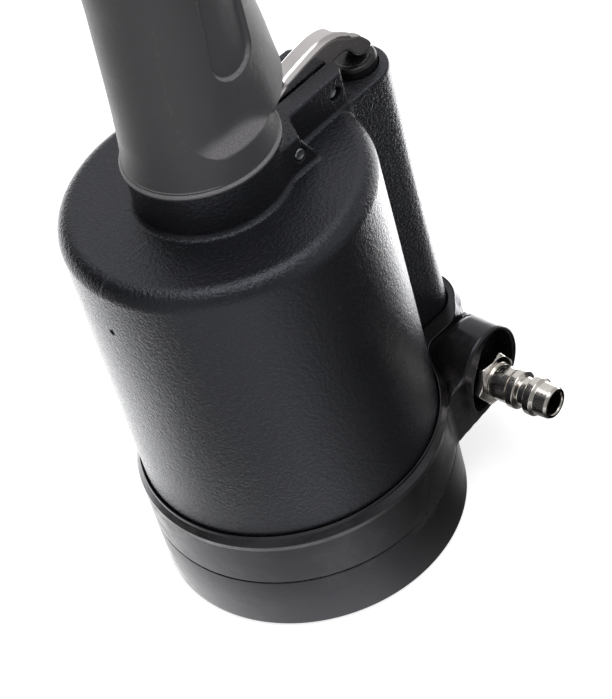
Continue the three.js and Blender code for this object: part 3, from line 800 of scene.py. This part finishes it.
def base_ring(points):
    x, y, z = points.T
    side = np.abs(y)
    outside = ring_outline(x, y)
    lift = lip_lift(x)
    shape = polygon_distance(outside, z - lift * smooth((z - 26.0) / 12.0), RING_WALL)
    # flat top of the socket, a little below the lip
    top = meet(outside + 1.7, z - 42.3 - lift, 36.0 - z, 40.0 - x)
    shape = np.minimum(shape, np.maximum(top, side - 20.6))
    # inlet boss: a round nose and a web beside it, sloping back into the wall
    local = points - BOSS_CENTRE
    across = local @ BOSS_ACROSS
    out = local @ BOSS_OUT
    up = z - BOSS_Z
    back = ((z - 38.6 - lift) - 2.2 * outside) / 2.42
    nose = round_meet(np.hypot(across - 0.4, up) - 14.5, out, 1.3)
    nose = round_meet(nose, back, 2.5)
    nose = np.maximum(nose, -out - 30)
    web = meet(across - 2.0, -across - 26.0, -out - 28)
    web = round_meet(round_meet(web, up - 6.4, 1.2), back, 1.0)
    web = round_meet(web, out, 0.6)
    boss = round_union(nose, web, 4.0)
    boss = meet(boss, -(outside + 1.0), RING_FOOT_Z - z)
    shape = round_union(shape, boss, 1.3)
    shape = np.where(x > 44, np.maximum(shape, out), shape)
    shape = np.maximum(shape, RING_FOOT_Z - z)
    # pocket in the boss face, worked out only close to it
    near = (np.hypot(across, up) < 24) & (out > -12)
    pocket = np.full(shape.shape, 20.0)
    pocket[near] = polygon_distance(across[near], up[near], POCKET)
    shape = round_cut(shape, np.maximum(pocket, -out - 8.0), 0.9)
    # stepped hole for the inlet plug
    plug_rho = np.hypot(across - PLUG_ACROSS, up - PLUG_UP)
    shape = cut(shape, np.maximum(plug_rho - 7.7, -out - 23.2))
    shape = cut(shape, meet(plug_rho - 3.4, -out - 34, out + 20))
    # bore, and the slot for the valve housing
    shape = np.maximum(shape, RING_BORE_R - np.hypot(x, y))
    slot = meet(arm_plan(x, y, 13.19), side - 12.7, 24.6 - z, 40 - x)
    return round_cut(shape, slot, 0.35)


add_solid("base_ring_moulding", "base_ring", "base_black", base_ring,
          low=(-54.5, -54.5, 19.5), high=(81, 54.5, 52.5), pitch=0.38)


def add_lip():
    """The lip on top of the ring, swept along its outline about a point inside it."""
    middle_x = 10
    angle = full_turn(900)
    rows = []
    for offset, height in LIP:
        # halve the range of radii that holds the outline
        near, far = np.full(len(angle), 30.0), np.full(len(angle), 80.0)
        for _ in range(30):
            middle = (near + far) / 2
            x, y = middle_x + middle * np.cos(angle), middle * np.sin(angle)
            beyond = ring_outline(x, y) > offset
            far = np.where(beyond, middle, far)
            near = np.where(beyond, near, middle)
        rows.append(np.stack([x, y, height + lip_lift(x)], 1))
    add_mesh("base_ring_lip", *loft(rows), None, "base_black")


add_lip()

# --------------------------------------------------------------------------
# Base cup, foot and closure
# --------------------------------------------------------------------------

CUP_SEG = 224
turn("base_cup_shell", "base_cup", "base_black", [
    (0, 2.7), (45.3, 2.7, 0.3), (45.3, 0.12, 0.4), (52.5, 0.12, 0.2), (BASE_R, 0.42, 0.3),
    (BASE_R, 21.25, 0.3), (RING_BORE_R, 21.25, 0.3), (RING_BORE_R, 6.5, 1.0), (0, 6.5),
], seg=CUP_SEG, bevel=0.3, steps=5)

# three shallow ring grooves in the tread, at these inner radii
TREAD = [point for r in (6, 20, 33)
         for point in ((r, 0.0, 0.2), (r + 1, 0.8, 0.2), (r + 3, 0.8, 0.2), (r + 4, 0.0, 0.2))]
turn("foot_pad_rubber", "foot_pad", "black_rubber",
     [(0, 0.0)] + TREAD + [(44.2, 0.0, 0.5), (45.0, 0.7, 0.4), (45.0, 2.4, 0.2), (0, 2.4)],
     seg=CUP_SEG, bevel=0.2)
turn("end_plate_turned", "end_plate", "machined_aluminium", [
    (0, 11.9), (30, 11.9, 0.3), (31, 12.9, 0.3), (38, 12.9, 0.3), (39, 11.9, 0.3), (44.0, 11.9),
    (44.7, 12.6), (44.7, 14.3), (42.5, 14.3), (42.5, 16.9), (44.7, 16.9), (44.7, 19.6),
    (0, 19.6),
], seg=128)
turn("end_plate_seal", "end_plate_oring", "seal_rubber", round_section(43.72, 15.6, 0.92, 14),
     seg=128)
turn("bumper_ring", "piston_bumper", "black_rubber",
     [(29, 19.9), (37, 19.9), (37, 22.6, 0.9), (29, 22.6, 0.9)])


def add_retaining_ring():
    """A sprung C, open on the -X side."""
    section = round_profile([(42.8, 9.8), (46.3, 9.8), (46.3, 11.2), (42.8, 11.2)], 0.2, 3)
    half_sweep = math.radians(169)
    rows = [np.stack([[r * math.cos(t), r * math.sin(t), z] for r, z in section])
            for t in np.linspace(-half_sweep, half_sweep, 121)]
    ends = [np.mean(rows[0], 0)], [np.mean(rows[-1], 0)]
    verts, groups = loft([ends[0]] + rows + [ends[1]], ring=False)
    # both end centres are stored last
    order = np.r_[1:len(verts) - 1, 0, len(verts) - 1]
    groups = [np.argsort(order)[group] for group in groups]
    add_mesh("retaining_ring_sprung", verts[order], groups, "retaining_ring", "spring_steel")


add_retaining_ring()


def add_socket_gasket():
    """A sheet under the valve housing, with the housing's round end."""
    radius, half_width = 12.5, 11.9
    half_arc = math.asin(half_width / radius)
    arc = [(ARM_X + radius * math.cos(t), radius * math.sin(t), 0)
           for t in np.linspace(-half_arc, half_arc, 40)]
    outline = round_profile([(52.0, -half_width, 0.5)] + arc + [(52.0, half_width, 0.5)], 0, 4)
    outline = np.array(outline)
    centre = outline.mean(0)
    spokes = outline - centre
    length = np.linalg.norm(spokes, axis=1, keepdims=True)
    # z, inset of the outline
    layers = [(24.9, 0.5), (24.9, 0.15), (25.0, 0.0), (26.2, 0.0), (26.3, 0.15), (26.3, 0.5)]
    rows = [np.column_stack([spokes * (1 - inset / length) + centre,
                             np.full(len(outline), z)]) for z, inset in layers]
    poles = [np.array([[*centre, layers[i][0]]]) for i in (0, -1)]
    add_mesh("socket_gasket_sheet", *loft([poles[0]] + rows + [poles[1]], ring=False),
             "socket_gasket", "seal_rubber")


add_socket_gasket()

# --------------------------------------------------------------------------
# Grip
# --------------------------------------------------------------------------

# stations of the oval body: z, half length in x, half width in y, offset toward +X
GRIP = np.array([
    [163.0, 28.1, 22.0, 5.0], [177.0, 28.1, 22.0, 5.0], [184.4, 27.3, 22.0, 4.77],
    [196.0, 26.2, 21.8, 4.6], [208.5, 24.7, 21.7, 4.2], [225.0, 23.3, 21.5, 4.0],
    [244.0, 23.1, 21.4, 3.9], [262.0, 23.7, 21.7, 3.3], [276.0, 24.1, 22.2, 2.4],
    [284.0, 24.0, 22.6, 1.4], [288.4, 23.2, 22.4, 0.6], [290.0, 21.6, 21.2, 0.3],
])
GRIP_FOOT_R = 24.2
GRIP_RIM_Z, GRIP_TOP_Z = 286.0, 290.0
FLATS_TOP_Z = 215.0
PANEL_Z = (203.0, 256.0)      # centres of the round ends of the finger panels
PANEL_R, PANEL_DEPTH = 8.2, 1.2
# thin flange that closes the foot, and the fine groove above it: radius, z
GRIP_FLANGE = [
    (24.5, GRIP_FOOT_Z), (24.92, 163.48), (25.05, 163.65), (25.08, 163.95), (24.95, 164.3),
    (24.7, 164.6), (24.35, 164.8), (24.0, 164.85), (23.9, 164.95), (24.0, 165.08),
    (24.2, 165.15),
]
# top face, bore and underside: radius, z
GRIP_BORE = [
    (20.6, GRIP_TOP_Z), (19.8, 289.9), (15.6, 289.9), (SLEEVE_BORE_R, 289.6),
    (SLEEVE_BORE_R, 163.7), (15.6, GRIP_FOOT_Z), (23.6, GRIP_FOOT_Z),
    (GRIP_FOOT_R, GRIP_FOOT_Z),
]


def monotone_cubic(knots, values, x):
    gaps = np.diff(knots)
    rises = np.diff(values) / gaps
    slopes = np.zeros_like(values)
    for i in range(1, len(knots) - 1):
        if rises[i - 1] * rises[i] > 0:
            before, after = 2 * gaps[i] + gaps[i - 1], gaps[i] + 2 * gaps[i - 1]
            slopes[i] = (before + after) / (before / rises[i - 1] + after / rises[i])
    slopes[0], slopes[-1] = rises[0], rises[-1]
    i = np.clip(np.searchsorted(knots, x) - 1, 0, len(knots) - 2)
    gap = gaps[i]
    t = (x - knots[i]) / gap
    return ((1 + 2 * t) * (1 - t) ** 2 * values[i] + t * (1 - t) ** 2 * gap * slopes[i]
            + t * t * (3 - 2 * t) * values[i + 1] + t * t * (t - 1) * gap * slopes[i + 1])


def soft_max(first, second, width):
    close = np.maximum(width - np.abs(first - second), 0) / width
    return np.maximum(first, second) + close * close * width / 4


def soft_min(first, second, width):
    return -soft_max(-first, -second, width)


def grip_oval(z):
    """Half length, half width and offset of the body; the rim is a quarter round."""
    if z > GRIP_RIM_Z:
        t = (z - GRIP_RIM_Z) / (GRIP_TOP_Z - GRIP_RIM_Z)
        inset = 2.2 * (1 - math.sqrt(max(0.0, 1 - t * t)))
        return 23.75 - inset, 22.5 - 0.75 * inset, 0.9 * (1 - t) + 0.3 * t
    return [float(monotone_cubic(GRIP[:, 0], GRIP[:, i], z)) for i in (1, 2, 3)]


def add_grip():
    angle = full_turn(480)
    cos, sin = np.cos(angle), np.sin(angle)
    heights = np.concatenate([
        np.linspace(165.3, 174.6, 16),
        np.linspace(174.85, 183.5, 36),
        np.linspace(184.0, GRIP_RIM_Z, 210),
        np.linspace(286.6, 289.2, 8),
        np.linspace(289.4, GRIP_TOP_Z, 6),
    ])
    back = smooth((-cos - 0.3) / 0.35)          # 1 on the -X side
    turn_in = smooth((cos + 0.7) / 0.7)         # 0 on the -X side
    # height where the foot starts to widen; above the grip away from +X
    widen_z = 300.0 - 125.8 * smooth((cos - 0.2) / 0.1) - 4.8 * smooth((cos - 0.5) / 0.3)
    rows = [level_row(r * cos, r * sin, z) for r, z in GRIP_FLANGE]
    for z in heights:
        half_x, half_y, offset = grip_oval(z)
        # radius from the axis to the offset oval: the root of a quadratic
        square = (cos / half_x) ** 2 + (sin / half_y) ** 2
        linear = -2 * offset * cos / half_x ** 2
        constant = (offset / half_x) ** 2 - 1
        radius = (-linear + np.sqrt(linear * linear - 4 * square * constant)) / (2 * square)
        radius = soft_min(radius, 30.6 / np.maximum(cos, 0.05), 1.5)
        if z < FLATS_TOP_Z:
            # flats on both sides, running down to the ledge over the round foot
            flat = 20.9 + 2.2 * smooth((z - 185.0) / 22.0)
            side = soft_min(radius, flat / np.maximum(np.abs(sin), 0.3), 1.2)
            taper = 0.12 * (z - GRIP_FOOT_Z)
            inner = soft_max(side, GRIP_FOOT_R - taper - 3.5 * turn_in, 0.8)
            inner = soft_max(inner, GRIP_FOOT_R - 0.52 * (z - 173.9), 1.3)
            outer = soft_max(GRIP_FOOT_R - taper * back, np.where(cos < -0.2, side, 0.0), 0.8)
            outer = outer + 0.58 * np.maximum(0.0, z - widen_z)
            radius = soft_min(inner, outer, 0.03)
        x, y = radius * cos, radius * sin
        # finger panels on both sides: a long recess with rounded ends
        low, high = PANEL_Z
        panel_x = x - (5.8 + 0.09 * min(z - low, 30.0))
        edge = PANEL_R - np.hypot(panel_x, z - np.clip(z, low, high))
        depth = PANEL_DEPTH * smooth(edge / 0.95 + 0.3) * (np.abs(y) > 12)
        normal_x, normal_y = cos / half_x, sin / half_y
        length = np.hypot(normal_x, normal_y)
        rows.append(level_row(x - depth * normal_x / length, y - depth * normal_y / length, z))
    rows += [level_row(r * cos, r * sin, z) for r, z in GRIP_BORE]
    add_mesh("grip_sleeve_moulding", *loft(rows), "grip_sleeve", "grip_grey")


add_grip()

# --------------------------------------------------------------------------
# Barrel, gland, nut, head, barb
# --------------------------------------------------------------------------

turn("barrel_tube", "pump_barrel", "turned_steel",
     [(9.5, 134.5), (18, 134.5), (18, 138.7), (15, 138.7, 0.1), (15, 302.6), (9.5, 302.6)])
turn("rod_gland_bush", "rod_gland", "brass",
     [(6.3, 141), (9.2, 141), (9.2, 150), (6.3, 150)], seg=64)
turn("gland_seal_ring", "gland_seal", "seal_rubber",
     [(6.3, 150.4), (9.2, 150.4), (9.2, 153.6), (6.3, 153.6)], seg=64)


def nut_radius(angle, r, z):
    """Six notches around the nut, with a fine knurl between them."""
    if r < 16.5:
        return np.full(angle.shape, r)
    around = (angle - math.pi / 6) % (math.pi / 3)
    around = np.minimum(around, math.pi / 3 - around) * 21.0
    notch = 1.7 * (1 - smooth((around - 1.2) / 1.0))
    knurled = 1 if 291.6 < z < 296.0 else 0
    knurl = 0.16 * np.abs(np.sin(angle * 60)) * smooth((around - 2.4) / 0.8) * knurled
    return r - notch - knurl


turn("grip_nut_notched", "grip_nut", "blackened_steel", [
    (SLEEVE_BORE_R, 290.4), (20.2, 290.4), (20.8, 291.0), (20.8, 291.5, 0), (20.8, 296.1, 0),
    (20.8, 296.6), (20.2, 297.2), (SLEEVE_BORE_R, 297.2),
], seg=720, bevel=0.15, radial=nut_radius, longest=0.5)
turn("pump_head_turned", "pump_head", "machined_aluminium", [
    (SLEEVE_BORE_R, 297.6), (17.2, 297.6), (18.0, 298.4, 0.4), (18.0, 301.0, 0.2),
    (17.4, 301.5, 0.2), (17.4, 302.5, 0.2), (18.0, 303.0, 0.2), (18.0, 315.2, 1.4),
    (16.4, 318.0, 1.4), (11.0, 318.0, 0.2), (10.6, 317.6, 0.2), (7.3, 317.6, 0.3),
    (7.3, 309.5, 0), (3.0, 306.5, 0.1), (3.0, 303.0, 0.2), (SLEEVE_BORE_R, 303.0, 0.2),
], seg=160)

BARB_HEX_Z = (319.6, 322.8)   # full height of the hexagon, between its chamfers


def barb_limit(z):
    low, high = BARB_HEX_Z
    if low < z < high:
        return 10.39
    return 10.39 - min(abs(z - low), abs(z - high)) / 0.9


turn("hose_barb_turned", "hose_barb", "brass", [
    (4.8, 311.2), (7.0, 311.2, 0.4), (7.0, 318.4, 0.05), (8.8, 318.4, 0.1), (9.2, 318.7, 0),
    (9.2, BARB_HEX_Z[0], 0), (9.2, BARB_HEX_Z[1], 0), (9.2, 323.7, 0), (8.8, 324.0, 0.1),
    (4.7, 324.4, 0.4), (4.6, 327.0, 0.1), (5.5, 327.4, 0.1), (4.6, 331.4, 0.1),
    (5.5, 331.8, 0.1), (4.6, 335.8, 0.1), (5.5, 336.2, 0.1), (4.4, 341.4, 0.3),
    (3.9, 342.0, 0.2), (2.6, 342.0, 0.2), (2.6, 322.0, 0.1), (4.8, 321.2, 0.1),
], seg=144, bevel=0.2, radial=hexagon(9.0, 8.9, barb_limit))

# --------------------------------------------------------------------------
# Pins
# --------------------------------------------------------------------------

# end of a pin: radius, depth below the end, corner radius
PIN_END = [(0, 0.35, 0), (0.9, 0.22, 0.3), (1.5, 0, 0.2), (1.75, 0, 0.1), (2.0, 0.3, 0.15)]


def pin(name, node, half, x, z):
    """A pin along y, of half length half."""
    profile = [(r, depth - half, bevel) for r, depth, bevel in PIN_END]
    profile += [(r, half - depth, bevel) for r, depth, bevel in reversed(PIN_END)]
    turn(name, node, "turned_steel", profile, seg=48,
         place=lambda v: np.stack([v[:, 0] + x, v[:, 2], v[:, 1] + z], 1))


pin("lever_pivot_pin", "pivot_pin", 20.85, PIVOT_X, PIVOT_Z)
pin("lever_stop_pin", "stop_pin", 10.2, STOP_X, STOP_Z)

# --------------------------------------------------------------------------
# Inlet plug and its fittings
# --------------------------------------------------------------------------


def on_plug(verts):
    """Moves a turned piece to the plug axis, with its z pointing out of the boss."""
    centre = BOSS_CENTRE + BOSS_ACROSS * PLUG_ACROSS + np.array([0, 0, PLUG_UP])
    axes = np.stack([BOSS_ACROSS, [0, 0, 1.0], BOSS_OUT])
    return centre + verts @ axes


PLUG_HEX = hexagon(8.3, 7.3, lambda z: 9.5 - 1.25 * smooth((abs(z + 2.15) - 3.55) / 0.95))
turn("inlet_plug_turned", "inlet_plug", "nickel", [
    (4.0, -20.4), (4.6, -20.4, 0.2), (5.0, -20.0, 0.2), (5.0, -7.0, 0.1), (6.9, -6.6, 0.1),
    (7.5, -6.6, 0), (8.3, -6.2, 0), (8.3, -5.9, 0), (8.3, -5.5, 0), (8.3, 0.9, 0),
    (8.3, 1.3, 0), (8.3, 1.7, 0), (8.3, 2.0, 0), (7.9, 2.25, 0), (7.5, 2.3, 0),
    (7.2, 2.3, 0.1), (6.35, 2.4, 0.25), (6.2, 3.0, 0.3), (6.2, 9.3, 0.5), (6.75, 10.2, 0.5),
    (6.75, 12.8, 0.5), (5.0, 13.8, 0.4), (5.0, 16.1, 0.4), (6.75, 17.1, 0.5),
    (6.75, 19.7, 0.5), (5.85, 20.6, 0.4), (5.65, 25.0, 0.3), (5.15, 26.0, 0.3),
    (4.25, 26.0, 0.25), (4.0, 25.5, 0.2),
], seg=192, bevel=0.2, place=on_plug, radial=PLUG_HEX, steps=6)
turn("plug_washer_ring", "plug_washer", "copper", [
    (5.35, -7.7), (8.4, -7.7), (8.4, -6.9), (6.35, -6.9, 0.1), (6.35, -7.3, 0.1), (5.35, -7.3),
], seg=64, bevel=0.15, place=on_plug)
turn("inlet_bush_turned", "inlet_bush", "brass",
     [(5.3, -21.6), (7.4, -21.6), (7.4, -8.0), (5.3, -8.0)], seg=64, place=on_plug)

# --------------------------------------------------------------------------
# Thumb lever
# --------------------------------------------------------------------------


def between(t, start, end, first, last):
    return (end - t) / (end - start) * first + (t - start) / (end - start) * last


def spline(points, per):
    """Centripetal Catmull-Rom through a closed outline, per points to a span.
    Points with a third value stay sharp."""
    places = np.array([point[:2] for point in points], float)
    sharp = [len(point) > 2 for point in points]
    count = len(places)
    curve = []
    for i in range(count):
        ahead = (i + 1) % count
        p0, p1, p2, p3 = places[i - 1], places[i], places[ahead], places[(i + 2) % count]
        if sharp[i]:
            p0 = 2 * p1 - p2
        if sharp[ahead]:
            p3 = 2 * p2 - p1
        t1 = np.linalg.norm(p1 - p0) ** 0.5
        t2 = t1 + np.linalg.norm(p2 - p1) ** 0.5
        t3 = t2 + np.linalg.norm(p3 - p2) ** 0.5
        for t in np.linspace(t1, t2, per, endpoint=False):
            middle = between(t, t1, t2, p1, p2)
            early = between(t, 0.0, t2, between(t, 0.0, t1, p0, p1), middle)
            late = between(t, t1, t3, middle, between(t, t2, t3, p2, p3))
            curve.append(between(t, t1, t2, early, late))
    return np.array(curve)


# side view of the lever: an eye around the pivot, then x, z and 0 for a sharp point
EYE_R = 3.3
LEVER_SIDE = spline(
    [(PIVOT_X + EYE_R * math.cos(t), PIVOT_Z + EYE_R * math.sin(t))
     for t in np.radians(np.linspace(110, 270, 9))] + [
        (30, 151.0, 0), (47.6, 152.5), (50.0, 153.6), (51.4, 156.0), (53.2, 157.3),
        (56.3, 157.8), (58.4, 157.8), (59.9, 157.2), (61.2, 155.6), (62.5, 153.7),
        (64.2, 152.1), (66.0, 151.6), (67.8, 151.8), (69.4, 152.3), (70.2, 153.1),
        (69.8, 154.8), (67.9, 157.5), (65.6, 160.1), (63.0, 162.3), (60.4, 164.2),
        (57.4, 166.0), (55.0, 166.8), (52.4, 167.2), (50.1, 167.2), (46.4, 166.8),
        (43.1, 166.3), (38.2, 165.3), (34.9, 164.6), (33.2, 163.9), (32.6, 163.0),
        (28.0, 160.6), (24.0, 158.4), (20.9, 156.8),
    ], 5)
# side view of the hollow under it: x, z
LEVER_HOLLOW = [
    (24.5, 149), (58.6, 149), (58.6, 162.0), (56.8, 164.0), (54.6, 165.0), (50.1, 165.4),
    (43.1, 164.5), (35.3, 162.6), (28.8, 159.2), (24.5, 156.6),
]


def lever(points):
    x, y, z = points.T
    side = np.abs(y)
    # wide crown, tighter lower edges
    rounding = 1.0 + 1.3 * smooth((z - 158.5) / 3.0) * smooth((x - 30) / 6.0)
    shape = round_meet(polygon_distance(x, z, LEVER_SIDE), side - 4.0, rounding)
    hollow = np.maximum(polygon_distance(x, z, LEVER_HOLLOW), side - 2.4)
    shape = round_cut(shape, hollow, 0.3)
    shape = round_cut(shape, np.hypot(x - PIVOT_X, z - PIVOT_Z) - PIN_HOLE_R, 0.25)
    # notch over the stop pin
    notch = np.maximum(np.abs(x - STOP_X) - 2.6, z - 159.1)
    return round_cut(shape, notch, 0.2)


add_solid("thumb_lever_plated", "lever", "chrome", lever, low=(14.5, -4.8, 148.5),
          high=(72, 4.8, 169), pitch=0.28, body="thumb_lever", steps=4)

# --------------------------------------------------------------------------
# Valve
# --------------------------------------------------------------------------

turn("valve_button_moulding", "valve_button", "button_plastic", [
    (0, 143.2), (7.0, 143.2, 0.3), (7.8, 144.0, 0.3), (7.8, 150.2, 0.6), (7.2, 151.05, 0.5),
    (5.6, 151.2, 0.6), (5.0, 150.9, 0.4), (0, 150.9),
], bevel=0.3, x=VALVE_X, body="valve_slider")
turn("valve_stem_turned", "valve_stem", "turned_steel", [
    (0, 108.6), (3.2, 108.6), (3.5, 109), (3.5, 114.4), (2.3, 114.4), (2.3, 116.6),
    (3.5, 116.6), (3.5, 122.4), (2.3, 122.4), (2.3, 124.6), (3.5, 124.6), (3.5, 142.9),
    (0, 142.9),
], seg=48, bevel=0.12, x=VALVE_X, body="valve_slider")
for level, seal_z in (("lower", 115.5), ("upper", 123.5)):
    turn("stem_seal_" + level, "stem_oring_" + level, "seal_rubber",
         round_section(3.05, seal_z, 0.55, 12), seg=48, x=VALVE_X, body="valve_slider")

# --------------------------------------------------------------------------
# Piston train
# --------------------------------------------------------------------------

# name, CAD piece, finish, profile, options
PISTON_TRAIN = [
    ("air_piston_turned", "air_piston", "machined_aluminium", [
        (9.3, 23), (44.6, 23), (44.6, 27.2), (42.0, 27.2), (42.0, 31.6), (44.6, 31.6),
        (44.6, 37), (38, 37), (34, 31), (12, 31), (9.8, 34), (9.8, 37), (6.3, 37),
        (6.3, 28.4), (9.3, 28.4),
    ], {}),
    ("piston_seal_ring", "piston_seal", "seal_rubber",
     [(42.3, 27.5), (44.6, 27.5), (44.6, 31.3), (42.3, 31.3)], {}),
    ("piston_rod_ground", "piston_rod", "chrome", [
        (0, 21.2), (4.0, 21.2), (4.0, 28.4), (6.0, 28.4), (6.0, 196), (3.5, 196),
        (3.5, 209), (0, 209),
    ], {"seg": 64}),
    ("plunger_head_turned", "plunger_head", "brass", [
        (3.8, 196.3), (9.1, 196.3), (9.1, 200), (7.6, 200), (7.6, 204), (9.1, 204),
        (9.1, 207.4), (3.8, 207.4),
    ], {"seg": 64}),
    ("cup_seal_ring", "cup_seal", "seal_rubber",
     [(7.9, 200.3), (9.15, 200.3), (9.15, 203.7), (7.9, 203.7)], {"seg": 64, "bevel": 0.2}),
    ("rod_nut_hex", "rod_nut", "turned_steel",
     [(4.3, 21.0), (6.5, 21.0, 0), (6.5, 27.8, 0), (4.3, 27.8)],
     {"bevel": 0.2, "radial": hexagon(6.5, 5, lambda z: 7.45)}),
]
for name, node, finish, profile, options in PISTON_TRAIN:
    turn(name, node, finish, profile, body="piston_train", **options)

# --------------------------------------------------------------------------
# Springs and check ball
# --------------------------------------------------------------------------


def coil(name, node, radius, wire, low, high, turns, x=0.0, seg=36):
    """A spring from low to high, of wire radius wire, that the joint squashes."""
    count = int(turns * seg)
    t = np.linspace(0, 1, count + 1)
    angle = 2 * np.pi * turns * t
    height = low + wire + (high - low - 2 * wire) * t
    centre = np.stack([x + radius * np.cos(angle), radius * np.sin(angle), height], 1)
    along = np.gradient(centre, axis=0)
    along /= np.linalg.norm(along, axis=1, keepdims=True)
    outward = np.stack([np.cos(angle), np.sin(angle), np.zeros_like(angle)], 1)
    upward = np.cross(along, outward)
    around = full_turn(12)[:, None]
    rows = [centre[i] + wire * (np.cos(around) * outward[i] + np.sin(around) * upward[i])
            for i in range(count + 1)]
    verts, groups = loft([centre[0]] + rows + [centre[-1]], ring=False)
    spring = add_mesh(name, verts, groups, node, "spring_steel")
    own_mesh(spring)


coil("valve_spring_wire", "valve_spring", radius=5.5, wire=0.58, low=129.3, high=142.9,
     turns=5, x=VALVE_X)
coil("return_spring_wire", "return_spring", radius=27, wire=1.75, low=31.3, high=138.7,
     turns=8, seg=48)
coil("check_spring_wire", "check_spring", radius=2.3, wire=0.38, low=313.5, high=320.9,
     turns=4)

BALL_R, BALL_Z = 3.9, 309.55
BALL_ARC = [(BALL_R * math.sin(t), BALL_Z - BALL_R * math.cos(t), 0)
            for t in np.linspace(0, math.pi, 34)[1:-1]]
turn("check_ball_ground", "check_ball", "turned_steel",
     [(0, BALL_Z - BALL_R)] + BALL_ARC + [(0, BALL_Z + BALL_R)], seg=64, body="check_valve")

# pieces whose CAD shape is right keep it and get a finish
for node, finish in (("valve_sleeve", "brass"), ("inlet_screen", "turned_steel")):
    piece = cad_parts[node]
    if len(piece.material_slots) == 0:
        piece.data.materials.append(FINISHES[finish])
    for slot in piece.material_slots:
        slot.link = "OBJECT"
        slot.material = FINISHES[finish]

# --------------------------------------------------------------------------
# Floor and table glow
# --------------------------------------------------------------------------


def add_plane(name, z):
    """A square of 12 m at height z, in metres."""
    half = 6.0
    mesh = bpy.data.meshes.new(name)
    mesh.from_pydata([(-half, -half, z), (half, -half, z), (half, half, z), (-half, half, z)],
                     [], [(0, 1, 2, 3)])
    plane = bpy.data.objects.new(name, mesh)
    scene.collection.objects.link(plane)
    material = bpy.data.materials.new("floor_white" if name == "floor" else name)
    mesh.materials.append(material)
    return plane, material


# the white floor is seen by the camera and otherwise has no effect
floor, floor_white = add_plane("floor", -0.0004)
floor_graph = Graph(floor_white)
floor_shader = floor_graph.add("BsdfPrincipled", {
    "Base Color": (0.60, 0.60, 0.60, 1.0), "Roughness": 0.6, "Specular IOR Level": 0.0,
    "Emission Color": (1.0, 1.0, 1.0, 1.0), "Emission Strength": 0.74,
})
floor_graph.add("OutputMaterial", {0: floor_shader.outputs[0]})
for ray in ("glossy", "diffuse", "shadow", "transmission"):
    setattr(floor, "visible_" + ray, False)

# The lit table top that the glossy sides reflect. Each row is brightness around the compass
# in steps of 30 degrees from +X, at the distance from the axis (mm) in GLOW_RADII.
GLOW_RADII = [60.0, 110.0, 180.0, 300.0]
GLOW = [
    [0.7, 2.08, 2.13, 1.9, 1.5, 1.42, 1.7, 1.36, 1.3, 0.34, 0.06, 0.5],
    [1.7, 2.37, 2.42, 2.62, 2.85, 1.98, 0.4, 0.3, 0.61, 0.25, 0.0, 0.0],
    [9.0, 3.4, 2.54, 2.73, 2.46, 1.32, 0.41, 0.6, 0.72, 0.22, 0.0, 0.0],
    [4.0, 2.4, 2.42, 2.64, 1.32, 0.2, 0.31, 0.9, 0.8, 0.22, 0.2, 0.08],
]


def shade_table_glow(material):
    graph = Graph(material)
    x, y, _ = graph.split(graph.add("NewGeometry").outputs["Position"])
    compass = graph.compass(x, y)
    distance = graph.math("SQRT", graph.plus(graph.times(x, x), graph.times(y, y)))
    # each row fades in from the row before and out to the next
    fades = [graph.ramp(distance, start=near * MM, end=far * MM, shape="LINEAR")
             for near, far in zip(GLOW_RADII, GLOW_RADII[1:])]
    weights = [graph.minus(fade_in, fade_out)
               for fade_in, fade_out in zip([1.0] + fades, fades)] + [fades[-1]]
    terms = [graph.times(weight, graph.around(compass, row, top=10.0))
             for weight, row in zip(weights, GLOW)]
    emission = graph.add("Emission", {1: reduce(graph.plus, terms)})
    graph.add("OutputMaterial", {0: emission.outputs[0]})
    material.cycles.emission_sampling = "NONE"


table_glow, glow_material = add_plane("table_glow", -0.0005)
shade_table_glow(glow_material)
table_glow.visible_camera = False
table_glow.visible_shadow = False

# --------------------------------------------------------------------------
# World: studio surroundings, plain white to the camera
# --------------------------------------------------------------------------

# brightness around the compass in steps of 36 degrees from +X, and overhead
STUDIO_SIDES = [0.49, 0.8, 0.68, 0.05, 0.02, 0.48, 0.34, 0.28, 0.7, 0.5]
STUDIO_OVERHEAD = 3.4


def build_world():
    world = bpy.data.worlds.new("studio")
    scene.world = world
    graph = Graph(world)
    x, y, z = graph.split(graph.add("TexCoord").outputs["Generated"])
    sides = graph.around(graph.compass(x, y), STUDIO_SIDES, top=6.0)
    overhead = graph.ramp(z, start=0.87, end=0.985)
    glow = graph.plus(graph.times(sides, graph.minus(1.0, overhead)),
                      graph.times(overhead, STUDIO_OVERHEAD))
    camera_ray = graph.add("LightPath").outputs["Is Camera Ray"]
    strength = graph.plus(graph.times(glow, graph.minus(1.0, camera_ray)), camera_ray)
    background = graph.add("Background", {0: (1.0, 1.0, 1.0, 1), 1: strength})
    graph.add("OutputWorld", {0: background.outputs[0]})


build_world()

view = scene.view_settings
view.view_transform = "Standard"
view.look = "None"
view.exposure = 0.0
view.gamma = 1.0

# --------------------------------------------------------------------------
# Camera: looks down from the -X -Y side
# --------------------------------------------------------------------------

CAMERA_PLACE = (-0.316082, -0.480277, 0.614370)
CAMERA_RIGHT = (0.67328, -0.70821, -0.21260)
CAMERA_AHEAD = (0.41214, 0.59811, -0.68730)

camera_data = bpy.data.cameras.new("camera")
camera_data.sensor_width = 36.0
camera_data.lens = 125.809442
camera_data.clip_start = 0.05
camera_data.clip_end = 50.0
camera = bpy.data.objects.new("camera", camera_data)
scene.collection.objects.link(camera)
right = Vector(CAMERA_RIGHT).normalized()
ahead = Vector(CAMERA_AHEAD).normalized()
up = right.cross(ahead).normalized()
right = ahead.cross(up).normalized()
camera.matrix_world = Matrix([
    (right[i], up[i], -ahead[i], CAMERA_PLACE[i]) for i in range(3)
] + [(0, 0, 0, 1)])
scene.camera = camera

bpy.context.view_layer.update()
